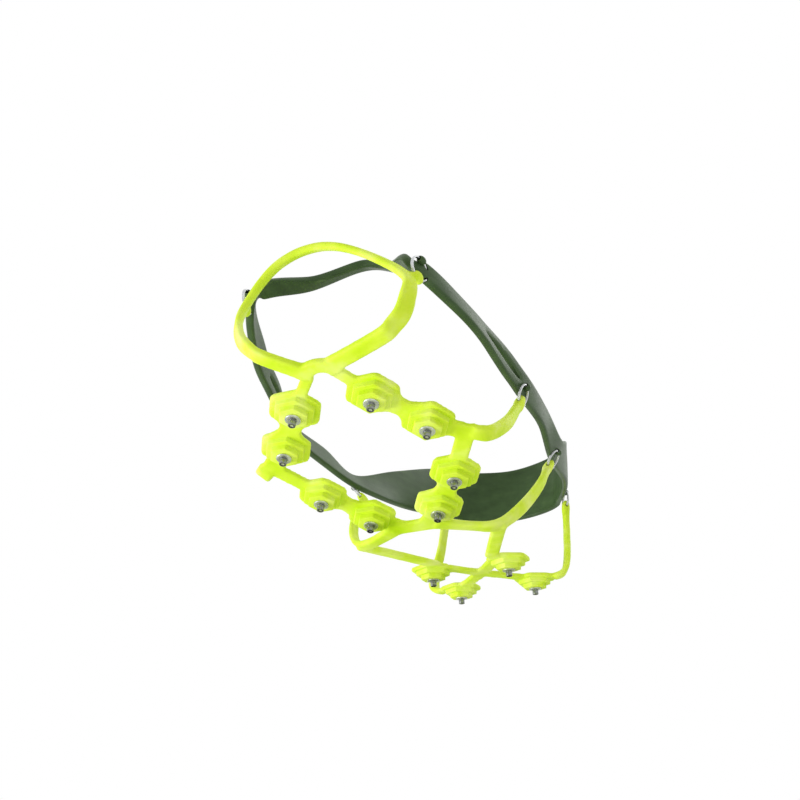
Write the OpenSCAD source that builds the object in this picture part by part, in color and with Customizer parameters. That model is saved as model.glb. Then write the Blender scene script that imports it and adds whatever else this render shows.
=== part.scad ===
// Slip-on ice cleat: a moulded web of stepped hexagonal lugs with hard-tipped studs,
// hung by wire rings from an elastic harness. +X right, toe toward -Y, standing on its tips.

/* [Forefoot plate] */
// Thickness of the moulded plate
web_t = 3; // [2.4:0.2:4.4]
// Upward tilt of the forefoot plate toward the toe, in degrees
fore_tilt = 15.5; // [8:0.5:20]
// Sideways place of the inner lugs
lug_in_x = 17.4; // [15.5:0.1:19.5]
// Sideways place of the outer lugs
lug_out_x = 33.2; // [31.5:0.1:36]
// How far the front lugs stand out beyond this, and the rear lugs stand in
taper = 0.5; // [0:0.1:1.2]
// Length between the two rear lug rows
row_rear = 21.8; // [20.5:0.1:25]
// Length between the outer lugs of the rear and front halves
row_mid = 36.1; // [33:0.1:42]
// Length between the two front lug rows
row_front = 22.6; // [20.5:0.1:25]
// Sideways place of the side corners
corner_x = 46.5; // [44.5:0.5:50]
// Distance of the side corners ahead of the rear outer lugs
corner_v = 24.5; // [22:0.5:27]
// Width of the waist between two lugs
neck_w = 9; // [6:0.5:12]
// Radius of the hollow at each side of a waist
neck_fillet = 6; // [4.5:0.5:8]

/* [Front and rear junctions] */
// Sideways shift of the front junction
nose_shift = 2.6; // [-4:0.1:5]
// Distance of the front junction ahead of the front lugs
nose_v = 21.2; // [18:0.2:24]
// Outer radius of the small arch
arch_r = 11; // [10:0.5:12]
// Radius of the hollow under the small arch
arch_hole = 5; // [3.5:0.5:6]
// Length of the junction's arms
nose_arm = 8; // [7:0.5:11]
// Width of the legs that join the junctions to the lugs
leg_w = 6.5; // [5:0.5:8]
// Distance of the rear bar behind the rear lugs
tail_v = 13.5; // [12.5:0.5:17]
// Half length of the rear bar
tail_x = 10.5; // [9.5:0.5:13]

/* [Lugs] */
// Radius of a pad over its corners, before rounding
lug_r = 12.5; // [12:0.1:13.2]
// Corner radius of a pad
lug_corner = 2.4; // [1:0.1:4]
// Corner radius over the flats of the first step
tier1_r = 10.7; // [9.6:0.1:11.4]
// Height of the first step
tier1_t = 2.7; // [1.8:0.1:4]
// Corner radius over the flats of the second step
tier2_r = 8.2; // [6.8:0.1:9.2]
// Height of the second step
tier2_t = 1.3; // [1:0.1:3]

/* [Studs] */
// Radius of the flange that sits inside the pad
base_r = 5; // [4:0.1:6]
// Thickness of the flange that sits inside the pad
base_t = 1.2; // [0.8:0.1:1.8]
// Radius of the shank
shank_r = 2.6; // [2.3:0.1:3]
// Radius of the domed outer flange
flange_r = 3.45; // [3.2:0.05:4.2]
// Rim thickness of the domed outer flange
rim_t = 0.4; // [0.2:0.1:0.8]
// Height of the domed outer flange
dome_h = 1; // [0.9:0.1:1.6]
// Radius of the hard tip
tip_r = 1.7; // [1.4:0.05:1.9]
// Length of the hard tip inside the stud
tip_in = 3; // [2:0.1:4]
// Length of the hard tip outside the dome
tip_out = 2.6; // [1.4:0.1:3.2]
// Bevel round the tip's end
tip_edge = 0.3; // [0.1:0.05:0.4]
// Radius of the cup in the tip's end
cup_r = 0.9; // [0.5:0.05:1.1]
// Depth of the cup in the tip's end
cup_h = 0.5; // [0.3:0.1:1]
// Radial clearance of studs and tips in their seats
seat_fit = 0.05; // [0.02:0.01:0.08]

/* [Heel plate] */
// Place of the front heel lugs behind the rear forefoot lugs
heel_gap = 93; // [88:0.5:102]
// Upward tilt of the heel plate toward the back, in degrees
heel_tilt = 3; // [0:0.5:6]
// Sideways place of the front heel lugs
heel_front_x = 21.7; // [20:0.1:24]
// Sideways place of the rear heel lugs
heel_rear_x = 22.6; // [21:0.1:25]
// Length between the two heel lug rows
heel_row = 49.6; // [46:0.2:56]
// Distance of the middle of the cross behind the front heel lugs
cross_v = 20.5; // [18:0.5:24]
// Length of the connector ends that belong to the cross
cross_in = 14; // [13:0.5:17]
// Sideways place of the connector ends
cross_x = 17; // [15:0.5:19]
// Sideways end of the cross, where the heel straps start
cross_out = 35; // [34:0.5:39]
// Width of the cross arms
cross_w = 7.5; // [6:0.5:9]

/* [Straps] */
// Width of the straps
strap_w = 8; // [7:0.5:10]
// Thickness of the straps
strap_t = 3.4; // [2.8:0.1:4.4]
// Width of the straps at their eyelets
strap_end = 5.4; // [4.6:0.2:6]
// Width of the toe bail
bail_w = 7; // [5:0.5:9]
// Radius of the eyelets
eye_r = 3; // [2.7:0.1:4]

/* [Toe loop] */
// Sideways shift of the toe loop
toe_shift = 8; // [-2:0.5:12]
// Sideways lean of the toe loop, in degrees
toe_lean = 0.9; // [-3:0.1:8]
// Turn of the toe loop seen from above, in degrees
toe_turn = 4; // [-3:0.5:8]
// Half width of the toe loop
toe_half = 36.5; // [34:0.5:42]
// Reach of the toe loop ahead of the front junction
toe_reach = 10.4; // [8:0.2:15]
// Height of the toe loop's eyelets above the front junction
toe_eye_z = 30.6; // [27:0.2:38]
// Height of the toe bail above the front junction
toe_top_z = 53.4; // [48:0.2:62]
// Sideways shift of the toe bail's top
bail_shift = -5.1; // [-8:0.1:4]

/* [Rings] */
// Mean radius of a wire ring
ring_r = 5.2; // [4.8:0.1:6.4]
// Radius of the ring's wire
wire_r = 0.9; // [0.7:0.05:1.1]
// Clearance round the wire in its eyelets
ring_gap = 0.25; // [0.2:0.05:0.4]

/* [Harness] */
// Thickness of the harness band
band_t = 3.6; // [3:0.1:4.6]
// Height of the band over the vamp
vamp_h = 8; // [7:0.5:11]
// Height of the side bands
side_h = 11; // [9:0.5:14]
// Height of the heel panel
panel_h = 35; // [26:0.5:40]
// Height of the band's middle over the vamp
vamp_z = 101.5; // [96:0.5:114]
// Place of the band's middle over the vamp, behind the toe eyelets
vamp_y = 29; // [22:0.5:38]
// Half width of the curve behind the heel
panel_half = 25; // [20:0.5:30]
// Place of the back of the heel panel behind the rear heel lugs
heel_back = 48; // [42:0.5:56]
// Lap of the band below the middle of its ring eyelets
band_lap = 5; // [3.6:0.1:5.6]

/* [Eyelet places] */
// Side straps' eyelets: sideways
side_eye_x = 59.8; // [57:0.2:64]
// Side straps' eyelets: behind the side corners
side_eye_y = 41; // [34:0.5:50]
// Side straps' eyelets: height
side_eye_z = 50.9; // [46:0.1:60]
// Mid straps' eyelets: sideways
mid_eye_x = 53.6; // [51:0.2:58]
// Mid straps' eyelets: behind the rear forefoot lugs
mid_eye_y = 69.5; // [62:0.5:78]
// Mid straps' eyelets: height
mid_eye_z = 48.4; // [44:0.1:56]
// Heel straps' eyelets: sideways
heel_eye_x = 40; // [38:0.2:44]
// Heel straps' eyelets: behind the rear heel lugs
heel_eye_y = 24; // [20:0.5:30]
// Heel straps' eyelets: height
heel_eye_z = 61.4; // [56:0.1:68]
// Sideways place of the mid straps' bend
mid_bend_x = 36; // [33:0.5:40]
// Place of the mid straps' bend behind the rear forefoot lugs
mid_bend_y = 29; // [25:0.5:34]

/* [Hidden] */
$fn = 48;
big = 400;
web_colour = "greenyellow";
harness_colour = "darkgreen";
steel_colour = "silver";
tip_colour = "dimgray";

// Heights of a lug and its stud, measured from the plate's upper face
lug_h = web_t + tier1_t + tier2_t;
stud_h = lug_h + dome_h + tip_out;

// The rear forefoot tips and the front heel tips touch the ground
fore_y = -38.5645;
fore_z = stud_h * cos(fore_tilt) + (tip_r - tip_edge) * sin(fore_tilt);
heel_y = fore_y + heel_gap;
heel_z = stud_h * cos(heel_tilt) + (tip_r - tip_edge) * sin(heel_tilt);

// Lug places on the forefoot plate and on the heel plate, right side
rear_in = [lug_in_x - taper, 0];
rear_out = [lug_out_x - taper, -row_rear];
front_out = [lug_out_x + taper, -row_rear - row_mid];
front_in = [lug_in_x + taper, -row_rear - row_mid - row_front];
corner = [corner_x, -row_rear - corner_v];
nose = [nose_shift, front_in.y - nose_v];
heel_front = [heel_front_x, 0];
heel_rear = [heel_rear_x, heel_row];

// Lines that part the plate into its pieces
arch_mid = nose + [0, arch_r - strap_w / 2];
nose_cut = arch_mid.y - 1;
corner_cut = corner.y + strap_w * 1.25;
corner_end = corner_x + 3;

// Small vector functions
function unit(v) = v / norm(v);
function flip(p, s) = [s * p.x, p.y, p.z];
function square_to(v, d) = unit(v - (v * d) * d);
function mix(a, b, t) = a + (b - a) * t;

// Points on the two plates, and directions square to them
function fore_pt(p) = [
    p.x,
    fore_y + p.y * cos(fore_tilt) + p.z * sin(fore_tilt),
    fore_z - p.y * sin(fore_tilt) + p.z * cos(fore_tilt)
];
function rear_pt(p) = [
    p.x,
    heel_y + p.y * cos(heel_tilt) - p.z * sin(heel_tilt),
    heel_z + p.y * sin(heel_tilt) + p.z * cos(heel_tilt)
];
fore_down = [0, -sin(fore_tilt), -cos(fore_tilt)];
rear_down = [0, sin(heel_tilt), -cos(heel_tilt)];
mid_z = -web_t / 2;

// Toe loop: local points lean and turn with the toe
toe_base = fore_pt([0, nose.y, mid_z]);
function toe_dir(p) = let (
    x = p.x * cos(toe_lean) + p.z * sin(toe_lean),
    z = p.z * cos(toe_lean) - p.x * sin(toe_lean)
) [x * cos(toe_turn) - p.y * sin(toe_turn), x * sin(toe_turn) + p.y * cos(toe_turn), z];
function toe_pt(p) = toe_dir(p) + [toe_shift, toe_base.y, toe_base.z];
function toe_knot(s) = toe_pt([s * toe_half * 0.718, -toe_reach * 0.91, toe_eye_z * 0.097]);

// Where the arms of the front junction end on the plate, and the way that they point
function plate_of(p) = [p.x, (p.y - fore_y) * cos(fore_tilt) - (p.z - fore_z) * sin(fore_tilt)];
function root(s) = nose + [s * nose_arm, 0];
function root_way(s) = let (d = plate_of(toe_knot(s)) - root(s)) atan2(d.y, d.x);
function root_start(s) = root(s) - 2 * [cos(root_way(s)), sin(root_way(s))];

// Eyelet places: point in the strap, way to the harness, way of the wire there
function eye_front(s) = toe_pt([s * (toe_half + eye_r * 0.47), -toe_reach * 0.22, toe_eye_z + eye_r * 0.3]);
function eye_side(s) = [
    s * side_eye_x, fore_pt([0, corner.y, mid_z]).y + side_eye_y, side_eye_z
];
function eye_mid(s) = [s * mid_eye_x, fore_y + mid_eye_y, mid_eye_z];
function eye_heel(s) = [s * heel_eye_x, rear_pt([0, heel_row, mid_z]).y + heel_eye_y, heel_eye_z];
function up_front(s) = unit([s * 0.1, 0.3, 0.98]);
function up_side(s) = unit([s * 0.37, 0.25, 0.9]);
function up_mid(s) = unit([s * 0.58, 0.15, 0.8]);
function up_heel(s) = unit([s * 0.05, 0.12, 1]);
function along_front(s) = square_to([s * 0.2, 0.9, -0.4], up_front(s));
function along_side(s) = square_to([0, 1, 0], up_side(s));
function along_mid(s) = square_to([0, 1, 0], up_mid(s));
function along_heel(s) = square_to([s * -0.5, 0.85, 0], up_heel(s));

// Smooth path through control points, with n steps to each span; it comes from a and goes on to b
function arc_pt(a, b, c, d, t) =
    0.5 * (2 * b + (c - a) * t + (2 * a - 5 * b + 4 * c - d) * t * t + (3 * b - a - 3 * c + d) * t * t * t);
function path(p, n, a, b) = let (
    q = concat([is_undef(a) ? p[0] : a], p, [is_undef(b) ? p[len(p) - 1] : b])
) [
    for (i = [1 : len(p) - 1])
        for (k = [0 : n - 1])
            arc_pt(q[i - 1], q[i], q[i + 1], q[i + 2], k / n),
    p[len(p) - 1]
];

// Rounded rectangular section of a strap
sides = 12;
function section(w, t) = [
    for (k = [0 : sides - 1])
        let (a = 360 * (k + 0.5) / sides)
            [w / 2 * sign(cos(a)) * sqrt(abs(cos(a))), t / 2 * sign(sin(a)) * sqrt(abs(sin(a)))]
];
function heading(p, i, first, last) =
    i == 0 ? unit(first) : i == len(p) - 1 ? unit(last) : unit(p[i + 1] - p[i - 1]);
function ring_of(p, i, out, w, t, first, last) = let (
    h = heading(p, i, first, last),
    o = square_to(out[i], h),
    s = cross(h, o)
) [for (c = section(w[i], t[i])) p[i] + s * c.x + o * c.y];

// Strap swept along points p, facing out, with widths w and thicknesses t
module sweep(p, out, w, t, first, last) {
    n = len(p);
    rings = [for (i = [0 : n - 1]) each ring_of(p, i, out, w, t, first, last)];
    skin = [
        for (i = [0 : n - 2])
            for (k = [0 : sides - 1])
                let (a = i * sides + k, b = i * sides + (k + 1) % sides)
                    each [[a, b + sides, a + sides], [a, b, b + sides]]
    ];
    start = [for (k = [1 : sides - 2]) [0, k + 1, k]];
    end = [for (k = [1 : sides - 2]) [0, k, k + 1] + (n - 1) * sides * [1, 1, 1]];
    polyhedron(points = rings, faces = concat(start, skin, end));
}

// Plates: local z is 0 on the upper face
module on_fore() {
    translate([0, fore_y, fore_z]) rotate([-fore_tilt, 0, 0]) children();
}
module on_rear() {
    translate([0, heel_y, heel_z]) rotate([heel_tilt, 0, 0]) children();
}
module plate() {
    translate([0, 0, -web_t]) linear_extrude(web_t) children();
}
module side(s) {
    if (s > 0) children();
    else mirror([1, 0, 0]) children();
}

// Straight bar between two points, with round ends
module bar(a, b, w) {
    d = b - a;
    translate(a) rotate(atan2(d.y, d.x)) translate([0, -w / 2]) square([norm(d), w]);
    translate(a) circle(d = w);
    translate(b) circle(d = w);
}

// Waist between two lugs, hollowed at both sides
module neck(a, b) {
    d = b - a;
    half = neck_w / 2 + 3;
    run = sqrt(neck_fillet * neck_fillet - (neck_fillet - 3) * (neck_fillet - 3));
    translate((a + b) / 2) rotate(atan2(d.y, d.x)) difference() {
        union() {
            square([norm(d), neck_w], center = true);
            square([2 * run, 2 * half], center = true);
        }
        for (s = [-1, 1]) translate([0, s * (neck_w / 2 + neck_fillet)]) circle(r = neck_fillet);
    }
}

// Hexagonal pad with rounded corners, corners toward +X and -X
module pad() {
    flat = lug_r * cos(30);
    core = (flat - lug_corner) / cos(30);
    for (a = [30, 90, 150]) rotate(a) square([2 * flat, core], center = true);
    for (a = [0 : 60 : 300]) rotate(a) translate([core, 0]) circle(r = lug_corner);
}

// Steps under a pad, and the seat that the stud is moulded into
module steps() {
    translate([0, 0, -web_t - tier1_t]) cylinder(r = tier1_r, h = tier1_t, $fn = 6);
    translate([0, 0, -lug_h]) cylinder(r = tier2_r, h = tier2_t, $fn = 6);
}
module stud_seat() {
    translate([0, 0, -base_t]) cylinder(r = base_r + seat_fit, h = base_t + 1);
    translate([0, 0, -lug_h - 1]) cylinder(r = shank_r + seat_fit, h = lug_h + 1);
}

// Stud body: base flange, shank and domed flange with a blind seat for the tip
module stud() {
    rotate_extrude() difference() {
        polygon([
            [0, 0], [base_r, 0], [base_r, -base_t], [shank_r, -base_t], [shank_r, -lug_h],
            [flange_r, -lug_h], [flange_r, -lug_h - rim_t],
            [mix(flange_r, tip_r, 0.35), -lug_h - mix(rim_t, dome_h, 0.7)],
            [tip_r + seat_fit + 0.3, -lug_h - dome_h], [0, -lug_h - dome_h]
        ]);
        translate([0, -lug_h - dome_h - 1]) square([tip_r + seat_fit, tip_in + 1]);
    }
}
module tip() {
    rotate_extrude() polygon([
        [0, -lug_h - dome_h + tip_in], [tip_r, -lug_h - dome_h + tip_in],
        [tip_r, -stud_h + tip_edge], [tip_r - tip_edge, -stud_h],
        [cup_r, -stud_h], [cup_r, -stud_h + cup_h], [0, -stud_h + cup_h]
    ]);
}

// Wire ring between a strap's eyelet and the harness
module at_ring(p, up, along) {
    z = cross(up, along);
    c = p + up * ring_r;
    multmatrix([
        [up.x, along.x, z.x, c.x], [up.y, along.y, z.y, c.y], [up.z, along.z, z.z, c.z], [0, 0, 0, 1]
    ]) children();
}
module wire(extra) {
    rotate_extrude($fn = 64) translate([ring_r, 0]) circle(r = wire_r + extra, $fn = 32);
}
module ring(p, up, along) {
    color(steel_colour) at_ring(p, up, along) wire(0);
}
module eyelet(p) {
    translate(p) rotate(p.x < 0 ? 180 : 0) sphere(r = eye_r);
}
function strap_top(p, up) = p - up * (wire_r + ring_gap + 1.4);
function band_eye(p, up) = p + up * 2 * ring_r;
function face(up, along, s) = -s * cross(up, along);
function band_mid(p, up, along, s, h, lap) =
    band_eye(p, up) + up * (h / 2 - lap) - face(up, along, s) * (band_t / 2 + wire_r + ring_gap);

// Front junction with its small arch and two arms
module nose_junction() {
    color(web_colour) on_fore() plate() {
        intersection() {
            translate(arch_mid) difference() {
                circle(r = arch_r);
                circle(r = arch_hole);
            }
            translate([-big / 2, nose_cut - big]) square(big);
        }
        for (s = [-1, 1]) translate(root(s)) rotate(root_way(s))
            translate([-nose_arm / 2, -strap_w / 2]) square([nose_arm / 2, strap_w]);
    }
}

// Front half of one side: two lugs, the leg to the front junction and the side corner
module front_run(s) {
    leg = [nose_shift * s + (arch_r + arch_hole) / 2, nose_cut];
    color(web_colour) on_fore() side(s) difference() {
        union() {
            plate() intersection() {
                union() {
                    bar(leg - [0, 3], front_in, leg_w * 0.85);
                    translate(front_in) pad();
                    neck(front_in, front_out);
                    translate(front_out) pad();
                    bar(front_out, corner, neck_w);
                    translate(corner) circle(d = strap_w + 4);
                    translate([corner.x, corner.y - strap_w / 2]) square([big, strap_w]);
                    bar(corner, rear_out, strap_w);
                }
                translate([-big + corner_end, nose_cut]) square([big, corner_cut - nose_cut]);
            }
            for (p = [front_in, front_out]) translate(p) steps();
        }
        for (p = [front_in, front_out]) translate(p) stud_seat();
    }
}
module front_run_right() { front_run(1); }
module front_run_left() { front_run(-1); }

// Room of the rear junction on the plate
module tail_room() {
    translate([-tail_x + 2.5, 5]) square([2 * tail_x - 5, big]);
    translate([-tail_x, tail_v - strap_w / 2]) square([2 * tail_x, big]);
}

// Rear half of one side: two lugs and the leg to the rear junction
module rear_run(s) {
    color(web_colour) on_fore() side(s) difference() {
        union() {
            plate() difference() {
                union() {
                    intersection() {
                        bar(corner, rear_out, strap_w);
                        translate([-big / 2, corner_cut]) square([big, big]);
                    }
                    translate(rear_out) pad();
                    neck(rear_out, rear_in);
                    translate(rear_in) pad();
                    bar(rear_in, [5, tail_v - 1], leg_w);
                }
                tail_room();
            }
            for (p = [rear_in, rear_out]) translate(p) steps();
        }
        for (p = [rear_in, rear_out]) translate(p) stud_seat();
    }
}
module rear_run_right() { rear_run(1); }
module rear_run_left() { rear_run(-1); }

// Rear junction, between the rear lugs and the mid straps
module tail_junction() {
    color(web_colour) on_fore() plate() intersection() {
        union() {
            for (s = [-1, 1]) bar([s * rear_in.x, rear_in.y], [s * 5, tail_v - 1], leg_w);
            for (s = [-1, 1]) translate([s * rear_in.x, rear_in.y]) pad();
            translate([-tail_x, tail_v - strap_w / 2]) square([2 * tail_x, strap_w]);
        }
        tail_room();
    }
}

// Toe loop: local path from the front junction round to the middle of the bail
function toe_path(s) = [
    fore_pt([root_start(s).x, root_start(s).y, mid_z]),
    toe_knot(s),
    toe_pt([s * toe_half * 0.814, -toe_reach * 0.93, toe_eye_z * 0.202]),
    toe_pt([s * toe_half * 0.942, -toe_reach * 0.98, toe_eye_z * 0.358]),
    toe_pt([s * toe_half, -toe_reach * 0.98, toe_eye_z * 0.623]),
    toe_pt([s * toe_half * 0.967, -toe_reach * 0.663, toe_eye_z]),
    toe_pt([s * toe_half * 0.493 + bail_shift, -toe_reach * 0.635, mix(toe_eye_z, toe_top_z, 0.746)]),
    toe_pt([bail_shift, -toe_reach * 0.635, toe_top_z])
];
function toe_out(s) = [
    fore_down,
    toe_dir([s * 0.15, -0.2, -0.97]),
    toe_dir([s * 0.5, -0.35, -0.8]),
    toe_dir([s * 0.85, -0.35, -0.4]),
    toe_dir([s * 0.97, -0.2, -0.05]),
    toe_dir([s * 0.9, -0.1, 0.4]),
    toe_dir([s * 0.5, -0.1, 0.87]),
    toe_dir([0, -0.1, 1])
];
toe_w = [strap_w, strap_w, strap_w, strap_w, strap_w - 0.5, bail_w, bail_w, bail_w];
toe_steps = 4;
toe_split = 5 * toe_steps + 2;
function toe_first(s) = fore_pt([cos(root_way(s)), sin(root_way(s)), 0]) - fore_pt([0, 0, 0]);
function toe_points(s) = path(toe_path(s), toe_steps, undef, toe_path(-s)[6]);
function toe_outs(s) = path(toe_out(s), toe_steps, undef, toe_out(-s)[6]);
toe_widths = path(toe_w, toe_steps);
function toe_cut_way(s) = toe_points(s)[toe_split + 1] - toe_points(s)[toe_split - 1];

module toe_strap(s) {
    keep = [0 : toe_split];
    color(web_colour) difference() {
        union() {
            sweep(
                [for (i = keep) toe_points(s)[i]], [for (i = keep) toe_outs(s)[i]],
                [for (i = keep) toe_widths[i]], [for (i = keep) strap_t], toe_first(s), toe_cut_way(s)
            );
            eyelet(eye_front(s));
        }
        at_ring(eye_front(s), up_front(s), along_front(s)) wire(ring_gap);
        on_fore() translate([0, 0, -web_t - 2]) linear_extrude(web_t + 4) {
            translate(arch_mid) circle(r = arch_r);
            translate(root(s)) rotate(root_way(s)) translate([-20, -10]) square(20);
        }
    }
}
module toe_strap_right() { toe_strap(1); }
module toe_strap_left() { toe_strap(-1); }

// Bail over the toe, between the two toe straps
module toe_bail() {
    last = len(toe_points(1)) - 1;
    half = [toe_split : last];
    back = [last - 1 : -1 : toe_split];
    p = concat([for (i = half) toe_points(1)[i]], [for (i = back) toe_points(-1)[i]]);
    o = concat([for (i = half) toe_outs(1)[i]], [for (i = back) toe_outs(-1)[i]]);
    w = concat([for (i = half) toe_widths[i]], [for (i = back) toe_widths[i]]);
    color(web_colour) sweep(p, o, w, [for (i = w) strap_t], toe_cut_way(1), -toe_cut_way(-1));
}

// Strap that ends in an eyelet for a ring, cut where it leaves its plate
bow = strap_w / 8;
module eye_strap(p, out, w, first, eye, up, along) {
    color(web_colour) difference() {
        union() {
            sweep(path(p, 4), path(out, 4), path(w, 4), [for (i = path(w, 4)) strap_t], first, up);
            eyelet(eye);
        }
        at_ring(eye, up, along) wire(ring_gap);
        children();
    }
}
module inside(s, x) {
    translate([s > 0 ? x - big : -x, -big, -big]) cube([big, 2 * big, 2 * big]);
}

// Side strap, from the side corner up to its ring
module side_strap(s) {
    start = flip(fore_pt([corner_end - 2, corner.y, mid_z]), s);
    eye = eye_side(s);
    top = strap_top(eye, up_side(s));
    p = [
        start,
        mix(start, eye, 0.13) + bow * [s * 4, 1, -3.2],
        mix(start, eye, 0.52) + bow * [s * 3.8, 0, -4.2],
        mix(start, eye, 0.8) + bow * [s * 1.4, 0.5, -1.8],
        top
    ];
    out = [fore_down, [s * 0.6, -0.1, -0.7], [s * 0.95, -0.1, -0.25], [s, -0.1, -0.1], [s, -0.1, -0.3]];
    eye_strap(p, out, [strap_w, strap_w, strap_w - 1, strap_end + 0.4, strap_end], [s, 0, 0],
        eye, up_side(s), along_side(s)) inside(s, corner_end);
}
module side_strap_right() { side_strap(1); }
module side_strap_left() { side_strap(-1); }

// Mid strap, from the rear junction out to its bend and up to its ring, with the heel connector
function connector(s) = let (
    bend = [s * mid_bend_x, fore_y + mid_bend_y, rear_pt([0, fore_y + mid_bend_y - heel_y, mid_z]).z],
    end = rear_pt([s * cross_x, -cross_in, mid_z])
) [bend + [s * 0.6, 1, 0], mix(bend, end, 0.35) + [s * 0.6, 0, 0], mix(bend, end, 0.75) + [s * 0.2, 0, 0], end];
module mid_strap(s) {
    start = flip(fore_pt([tail_x - 2, tail_v, mid_z]), s);
    bend = [s * mid_bend_x, fore_y + mid_bend_y, rear_pt([0, fore_y + mid_bend_y - heel_y, mid_z]).z];
    eye = eye_mid(s);
    top = strap_top(eye, up_mid(s));
    p = [
        start,
        mix(start, bend, 0.55) + bow * [0, 1.5, -0.3],
        bend,
        mix(bend, eye, 0.3) + bow * [s * 4, -1.5, -2.2],
        mix(bend, eye, 0.72) + bow * [s * 3, -1.5, -2.5],
        top
    ];
    out = [fore_down, rear_down, [s * 0.35, -0.1, -0.9], [s * 0.85, -0.2, -0.5], [s * 0.97, -0.1, -0.2], [s, 0, -0.5]];
    w = [strap_w, strap_w, strap_w, strap_w - 0.6, strap_end + 0.6, strap_end];
    link = connector(s);
    eye_strap(p, out, w, [s, 0, 0], eye, up_mid(s), along_mid(s)) {
        inside(s, tail_x);
        on_fore() side(s) translate([0, 0, -web_t - 2]) linear_extrude(web_t + 4) {
            translate(rear_in) pad();
            bar(rear_in, [5, tail_v - 1], leg_w);
        }
    }
    color(web_colour) sweep(
        path(link, 4), [for (i = path(link, 4)) rear_down], [for (i = path(link, 4)) cross_w],
        [for (i = path(link, 4)) web_t], link[1] - link[0], [0, cos(heel_tilt), sin(heel_tilt)]
    );
}
module mid_strap_right() { mid_strap(1); }
module mid_strap_left() { mid_strap(-1); }

// Heel cross with its four lugs
module heel_cross() {
    lugs = [for (s = [-1, 1]) each [[s * heel_front.x, heel_front.y], [s * heel_rear.x, heel_rear.y]]];
    color(web_colour) on_rear() difference() {
        union() {
            plate() {
                for (s = [-1, 1]) {
                    translate([s * cross_x - cross_w / 2, -cross_in]) square([cross_w, cross_in - 4]);
                    bar([s * cross_x, -5], [0, cross_v], cross_w);
                    bar([0, cross_v], [s * heel_rear.x, heel_rear.y], cross_w);
                    translate([s > 0 ? heel_rear.x : -cross_out, heel_rear.y - strap_w / 2])
                        square([cross_out - heel_rear.x, strap_w]);
                }
                translate([0, cross_v]) circle(d = cross_w + 4);
                for (p = lugs) translate(p) rotate(30) pad();
            }
            for (p = lugs) translate(p) rotate(30) steps();
        }
        for (p = lugs) translate(p) stud_seat();
    }
}

// Heel strap, from the heel cross up the back corner to its ring
module heel_strap(s) {
    start = rear_pt([s * (cross_out - 2), heel_row, mid_z]);
    eye = eye_heel(s);
    top = strap_top(eye, up_heel(s));
    p = [
        start,
        mix(start, eye, 0.1) + bow * [s * 4.6, -0.4, -2.4],
        mix(start, eye, 0.3) + bow * [s * 5, 0.5, -2],
        mix(start, eye, 0.65) + bow * [s * 2.2, 2, -1],
        top
    ];
    out = [rear_down, [s * 0.7, 0.2, -0.7], [s * 0.85, 0.5, -0.15], [s * 0.8, 0.6, 0], [s * 0.8, 0.6, 0]];
    eye_strap(p, out, [strap_w, strap_w, strap_w - 1, strap_end + 0.6, strap_end], [s, 0, 0],
        eye, up_heel(s), along_heel(s)) inside(s, cross_out);
}
module heel_strap_right() { heel_strap(1); }
module heel_strap_left() { heel_strap(-1); }

// Harness: half of the loop from the vamp to the back of the heel
band_bow = side_h / 11;
front_h = vamp_h - 2;
mid_h = side_h + 1;
back_y = rear_pt([0, heel_row, 0]).y + heel_back;
function band_path(s) = let (
    f = band_mid(eye_front(s), up_front(s), along_front(s), s, front_h, band_lap + 1),
    d = band_mid(eye_side(s), up_side(s), along_side(s), s, side_h, band_lap),
    m = band_mid(eye_mid(s), up_mid(s), along_mid(s), s, mid_h, band_lap),
    h = band_mid(eye_heel(s), up_heel(s), along_heel(s), s, panel_h, band_lap),
    v = [toe_shift + 2, eye_front(1).y + vamp_y, vamp_z]
) [
    v,
    mix(v, f, 0.52) + band_bow * [s * 0.5, 6, 2.5],
    f,
    mix(f, d, 0.33) + band_bow * [s * 4.9, 0, -2.6],
    mix(f, d, 0.66) + band_bow * [s * 3, 0, -1],
    d,
    mix(d, m, 0.5) + band_bow * [s * 1.6, 0, 1],
    m,
    mix(m, h, 0.5) + band_bow * [s * 5, 0, 0],
    h,
    [s * panel_half, mix(h.y, back_y, 0.66), h.z],
    [0, back_y, h.z]
];
function band_out(s) = [
    [0.05, -0.3, 0.95], [s * 0.5, -0.3, 0.8], face(up_front(s), along_front(s), s),
    [s * 0.95, -0.1, 0.2], [s, 0, 0], face(up_side(s), along_side(s), s),
    [s, 0, -0.2], face(up_mid(s), along_mid(s), s), [s, 0.1, -0.1],
    face(up_heel(s), along_heel(s), s), [s * 0.5, 0.85, 0], [0, 1, 0]
];
band_h = [
    vamp_h, vamp_h, front_h, side_h, side_h, side_h, side_h, mid_h,
    mix(mid_h, panel_h, 0.5), panel_h, panel_h, panel_h
];
band_steps = 4;
band_front = 2 * band_steps + 3;
band_rear = 9 * band_steps - 2;
function band_points(s) = path(band_path(s), band_steps, band_path(-s)[1], band_path(-s)[10]);
function band_outs(s) = path(band_out(s), band_steps, band_out(-s)[1], band_out(-s)[10]);
band_heights = path(band_h, band_steps);
function band_way(s, i) = band_points(s)[i + 1] - band_points(s)[i - 1];

module band(p, o, w, first, last) {
    sweep(p, o, w, [for (i = w) band_t], first, last);
}
module band_eyelet(p, up) {
    eyelet(band_eye(p, up));
}

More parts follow.
